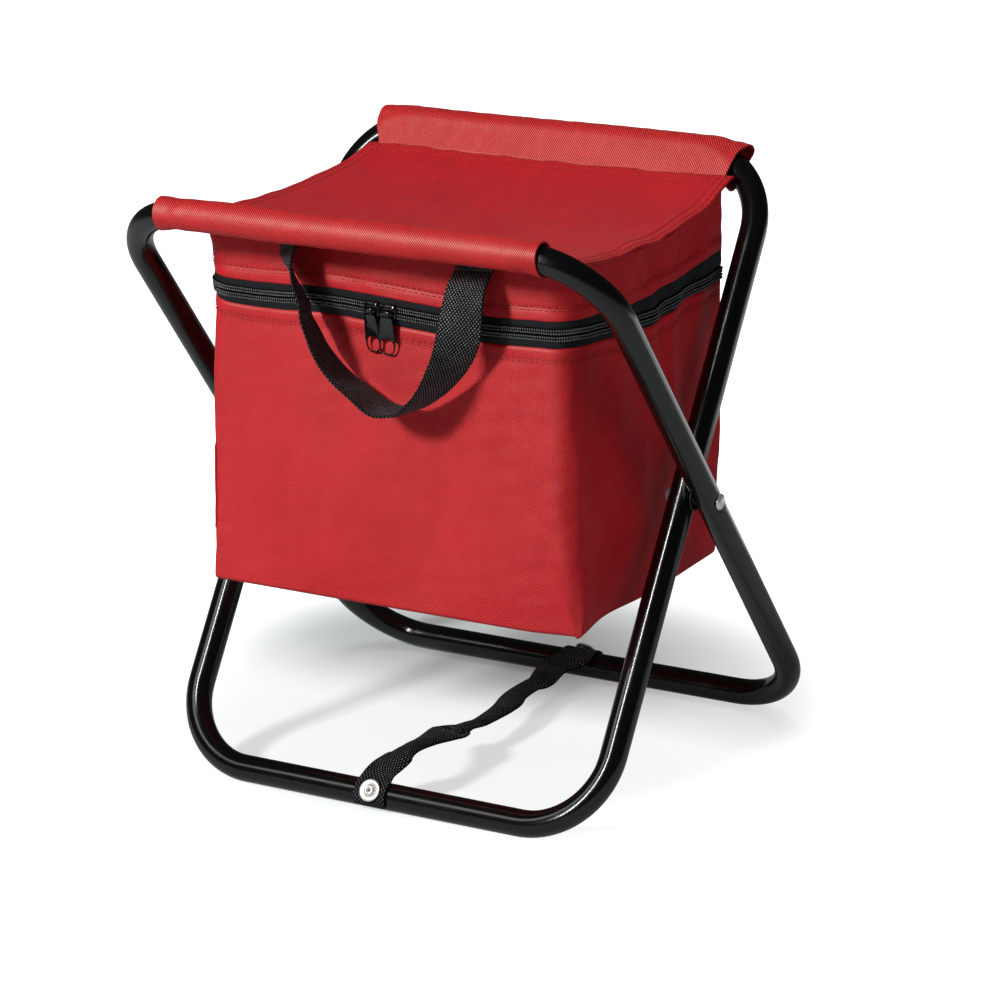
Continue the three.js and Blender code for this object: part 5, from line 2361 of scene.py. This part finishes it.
@dataclass
class Studio:
    """Floor, lights, surroundings and camera.

    Attributes:
        eye: The camera's place.
        azimuth: Its azimuth, in degrees.
        elevation: Its elevation, in degrees.
        roll: Its roll, in degrees.
        lens: Its focal length in millimetres, on a 36 mm sensor.
        paper: The floor's colour, a little cyan against the red light that the bag throws onto it.
        paper_light: Its lighter grain.
        rest: Strength of the surroundings for matt surfaces.
        dark: Strength of the surroundings in reflections.
    """

    eye: Point = (1.23145, -1.96531, 0.94762)
    azimuth: float = 31.683
    elevation: float = 18.935
    roll: float = -2.465
    lens: float = 148.785
    paper: Colour = srgb(0.70, 0.725, 0.725)
    paper_light: Colour = srgb(0.715, 0.74, 0.74)
    rest: float = 0.15
    dark: float = 0.03

    def build(self) -> None:
        """Builds the studio."""
        self._camera()
        self._floor()
        self._lights()
        self._surroundings()
        bpy.context.scene.view_settings.view_transform = "Standard"

    def _camera(self) -> None:
        """The camera, turned to its azimuth, elevation and roll."""
        a, e, r = (math.radians(v) for v in (self.azimuth, self.elevation, self.roll))
        back = Vector((math.sin(a) * math.cos(e), -math.cos(a) * math.cos(e), math.sin(e)))
        right = Vector((math.cos(a), math.sin(a), 0.0))
        up = back.cross(right)
        turned_right = math.cos(r) * right + math.sin(r) * up
        turned_up = math.cos(r) * up - math.sin(r) * right
        data = bpy.data.cameras.new("camera")
        data.lens = self.lens
        data.sensor_width = 36.0
        data.clip_start = 0.05
        data.clip_end = 60.0
        camera = bpy.data.objects.new("camera", data)
        axes = Matrix((turned_right, turned_up, back)).transposed().to_4x4()
        camera.matrix_world = Matrix.Translation(self.eye) @ axes
        bpy.context.scene.collection.objects.link(camera)
        bpy.context.scene.camera = camera

    def _floor(self) -> None:
        """A pale floor that keeps the shadows near the stool and turns plain white away from it.

        The white comes from a glow of 0.62 - 0.48 * (1 - ease(d, 0.3, 1.2)) + 0.66 * ease(e, 0.8, 1.4)
        that only the camera sees. Here e and d are distances in units of an ellipse round the stool and of
        one under the bag, where the dip of the glow is a painted shadow.
        """
        size = 12.0
        corners = [(-size, -size, 0.0), (size, -size, 0.0), (size, size, 0.0), (-size, size, 0.0)]
        mesh = bpy.data.meshes.new("floor")
        mesh.from_pydata(corners, [], [(0, 1, 2, 3)])
        floor = placed("floor", mesh)
        g = Graph(bpy.data.materials.new("floor_paper"))
        place = g.place()
        split = g.node("ShaderNodeSeparateXYZ", inputs={"Vector": place})
        x, y = Value(g, split.outputs[0]), Value(g, split.outputs[1])
        far = self._distance(x, y, (-0.03, 0.05), (0.20, 0.20)).eased(0.8, 1.4)
        # under: a painted shadow beneath the bag, made as a dip in the camera-only glow
        under = 1.0 - self._distance(x, y, (-0.10, 0.14), (0.20, 0.11)).eased(0.3, 1.2)
        grain = g.noise(place, 40.0, 2.0)
        colour = g.blend(grain, self.paper, self.paper_light)
        paper = g.node("ShaderNodeBsdfDiffuse", inputs={"Color": colour})
        seen, mirrored = self._rays(g)
        strength = seen * (far * 0.66 - under * 0.48 + 0.62) + mirrored * 0.08
        glow = g.node("ShaderNodeEmission", inputs={"Color": WHITE, "Strength": strength})
        both = g.node("ShaderNodeAddShader")
        g.feed(both.inputs[0], paper.outputs[0])
        g.feed(both.inputs[1], glow.outputs[0])
        g.node("ShaderNodeOutputMaterial", inputs={"Surface": both.outputs[0]})
        mesh.materials.append(g.owner)

    def _rays(self, g: Graph) -> tuple[Value, Value]:
        """1 for rays from the camera or through glass, and 1 for reflected ones.

        Args:
            g: The graph.

        Returns:
            Both masks.
        """
        light = g.node("ShaderNodeLightPath")
        camera, glass, gloss = (Value(g, light.outputs[f"Is {kind} Ray"]) for kind in RAYS)
        return camera.larger(glass), gloss

    def _distance(self, x: Value, y: Value, middle: Pair, radii: Pair) -> Value:
        """Distance on the floor in units of an ellipse."""
        return (((x - middle[0]) / radii[0]) ** 2.0 + ((y - middle[1]) / radii[1]) ** 2.0) ** 0.5

    def _lamp(
        self, name: str, place: Point, target: Point, size: Pair, power: float, mirrored: bool = False,
        only: bpy.types.Collection | None = None, blue: float = 1.0,
    ) -> None:
        """A rectangular soft light.

        Args:
            name: Its name.
            place: Its middle.
            target: What it points at.
            size: Its width and height.
            power: Its power in watts.
            mirrored: Whether only glossy surfaces show it, or only matt ones.
            only: Collection whose pieces it reaches, or None for all.
            blue: Its share of blue; green lies between that and red.
        """
        data = bpy.data.lights.new(name, "AREA")
        data.shape = "RECTANGLE"
        data.size, data.size_y = size
        data.energy = power
        data.color = (1.0, (2.0 + blue) / 3.0, blue)
        lamp = bpy.data.objects.new(name, data)
        lamp.location = place
        lamp.rotation_euler = (Vector(target) - Vector(place)).to_track_quat("-Z", "Y").to_euler()
        lamp.visible_glossy = mirrored
        lamp.visible_diffuse = not mirrored
        lamp.visible_camera = False
        if only is not None:
            lamp.light_linking.receiver_collection = only
        bpy.context.scene.collection.objects.link(lamp)

    def _lights(self) -> None:
        """A key from the front left, weak fills, and narrow cards that only glossy surfaces show."""
        cloth = self._group("cloth_pieces", True)
        hard = self._group("other_pieces", False)
        middle = (0.0, 0.0, 0.17)
        key = (-0.80, -1.80, 1.38)
        small = (0.34, 0.34)
        self._lamp("key", key, middle, small, 48.0)
        self._lamp("overhead", (0.0, 0.5, 1.9), middle, (1.2, 1.2), 7.5)
        self._lamp("right_fill", (2.2, -0.3, 1.0), middle, (1.6, 1.6), 7.0)
        self._lamp("cloth_key", key, middle, small, 140.0, True, cloth, 0.8)
        self._lamp("cloth_back", (-0.3, 2.2, 1.2), middle, (1.6, 1.2), 5.0, True, cloth, 0.8)
        self._lamp("strip", (-0.30, -2.15, 1.50), (0.0, 0.0, 0.15), (0.12, 1.6), 60.0, True, hard)
        self._lamp("floor_card", (0.75, 1.25, 0.004), (0.75, 1.25, 1.0), (1.4, 1.4), 6.0, True, hard)
        self._lamp("rivet_card", (-0.62, -0.86, 0.83), (0.0, -0.12, 0.01), small, 1.2, True, hard)

    def _group(self, name: str, red: bool) -> bpy.types.Collection:
        """A collection of the pieces with red cloth finishes, or of all others, for lights to reach.

        Args:
            name: The collection's name.
            red: Whether the red pieces are meant.

        Returns:
            The collection.
        """
        group = bpy.data.collections.new(name)
        for piece in list(bpy.data.objects):
            names = [slot.material.name for slot in piece.material_slots if slot.material]
            if piece.type == "MESH" and any(n.startswith("red_") for n in names) == red:
                group.objects.link(piece)
        return group

    def _surroundings(self) -> None:
        """White to the camera, dark in reflections, and a weak even light for matt surfaces."""
        world = bpy.data.worlds.new("surroundings")
        bpy.context.scene.world = world
        g = Graph(world)
        seen, gloss = self._rays(g)
        strength = seen + (1.0 - seen) * (gloss * self.dark + (1.0 - gloss) * self.rest)
        sky = g.node("ShaderNodeBackground", inputs={"Color": WHITE, "Strength": strength})
        g.node("ShaderNodeOutputWorld", inputs={"Surface": sky.outputs[0]})


def main() -> None:
    """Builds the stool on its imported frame."""
    logging.basicConfig(level=logging.INFO, format="%(message)s")
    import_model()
    shop = Workshop()
    frame = Frame(shop)
    frame.build()
    seat = Seat(shop, frame)
    seat.build()
    bag = Bag(shop, seat)
    bag.build()
    Zipper(shop, bag.form).build()
    Handle(shop).build()
    Strap(shop, frame).build()
    Studio().build()


if __name__ == "__main__":
    main()
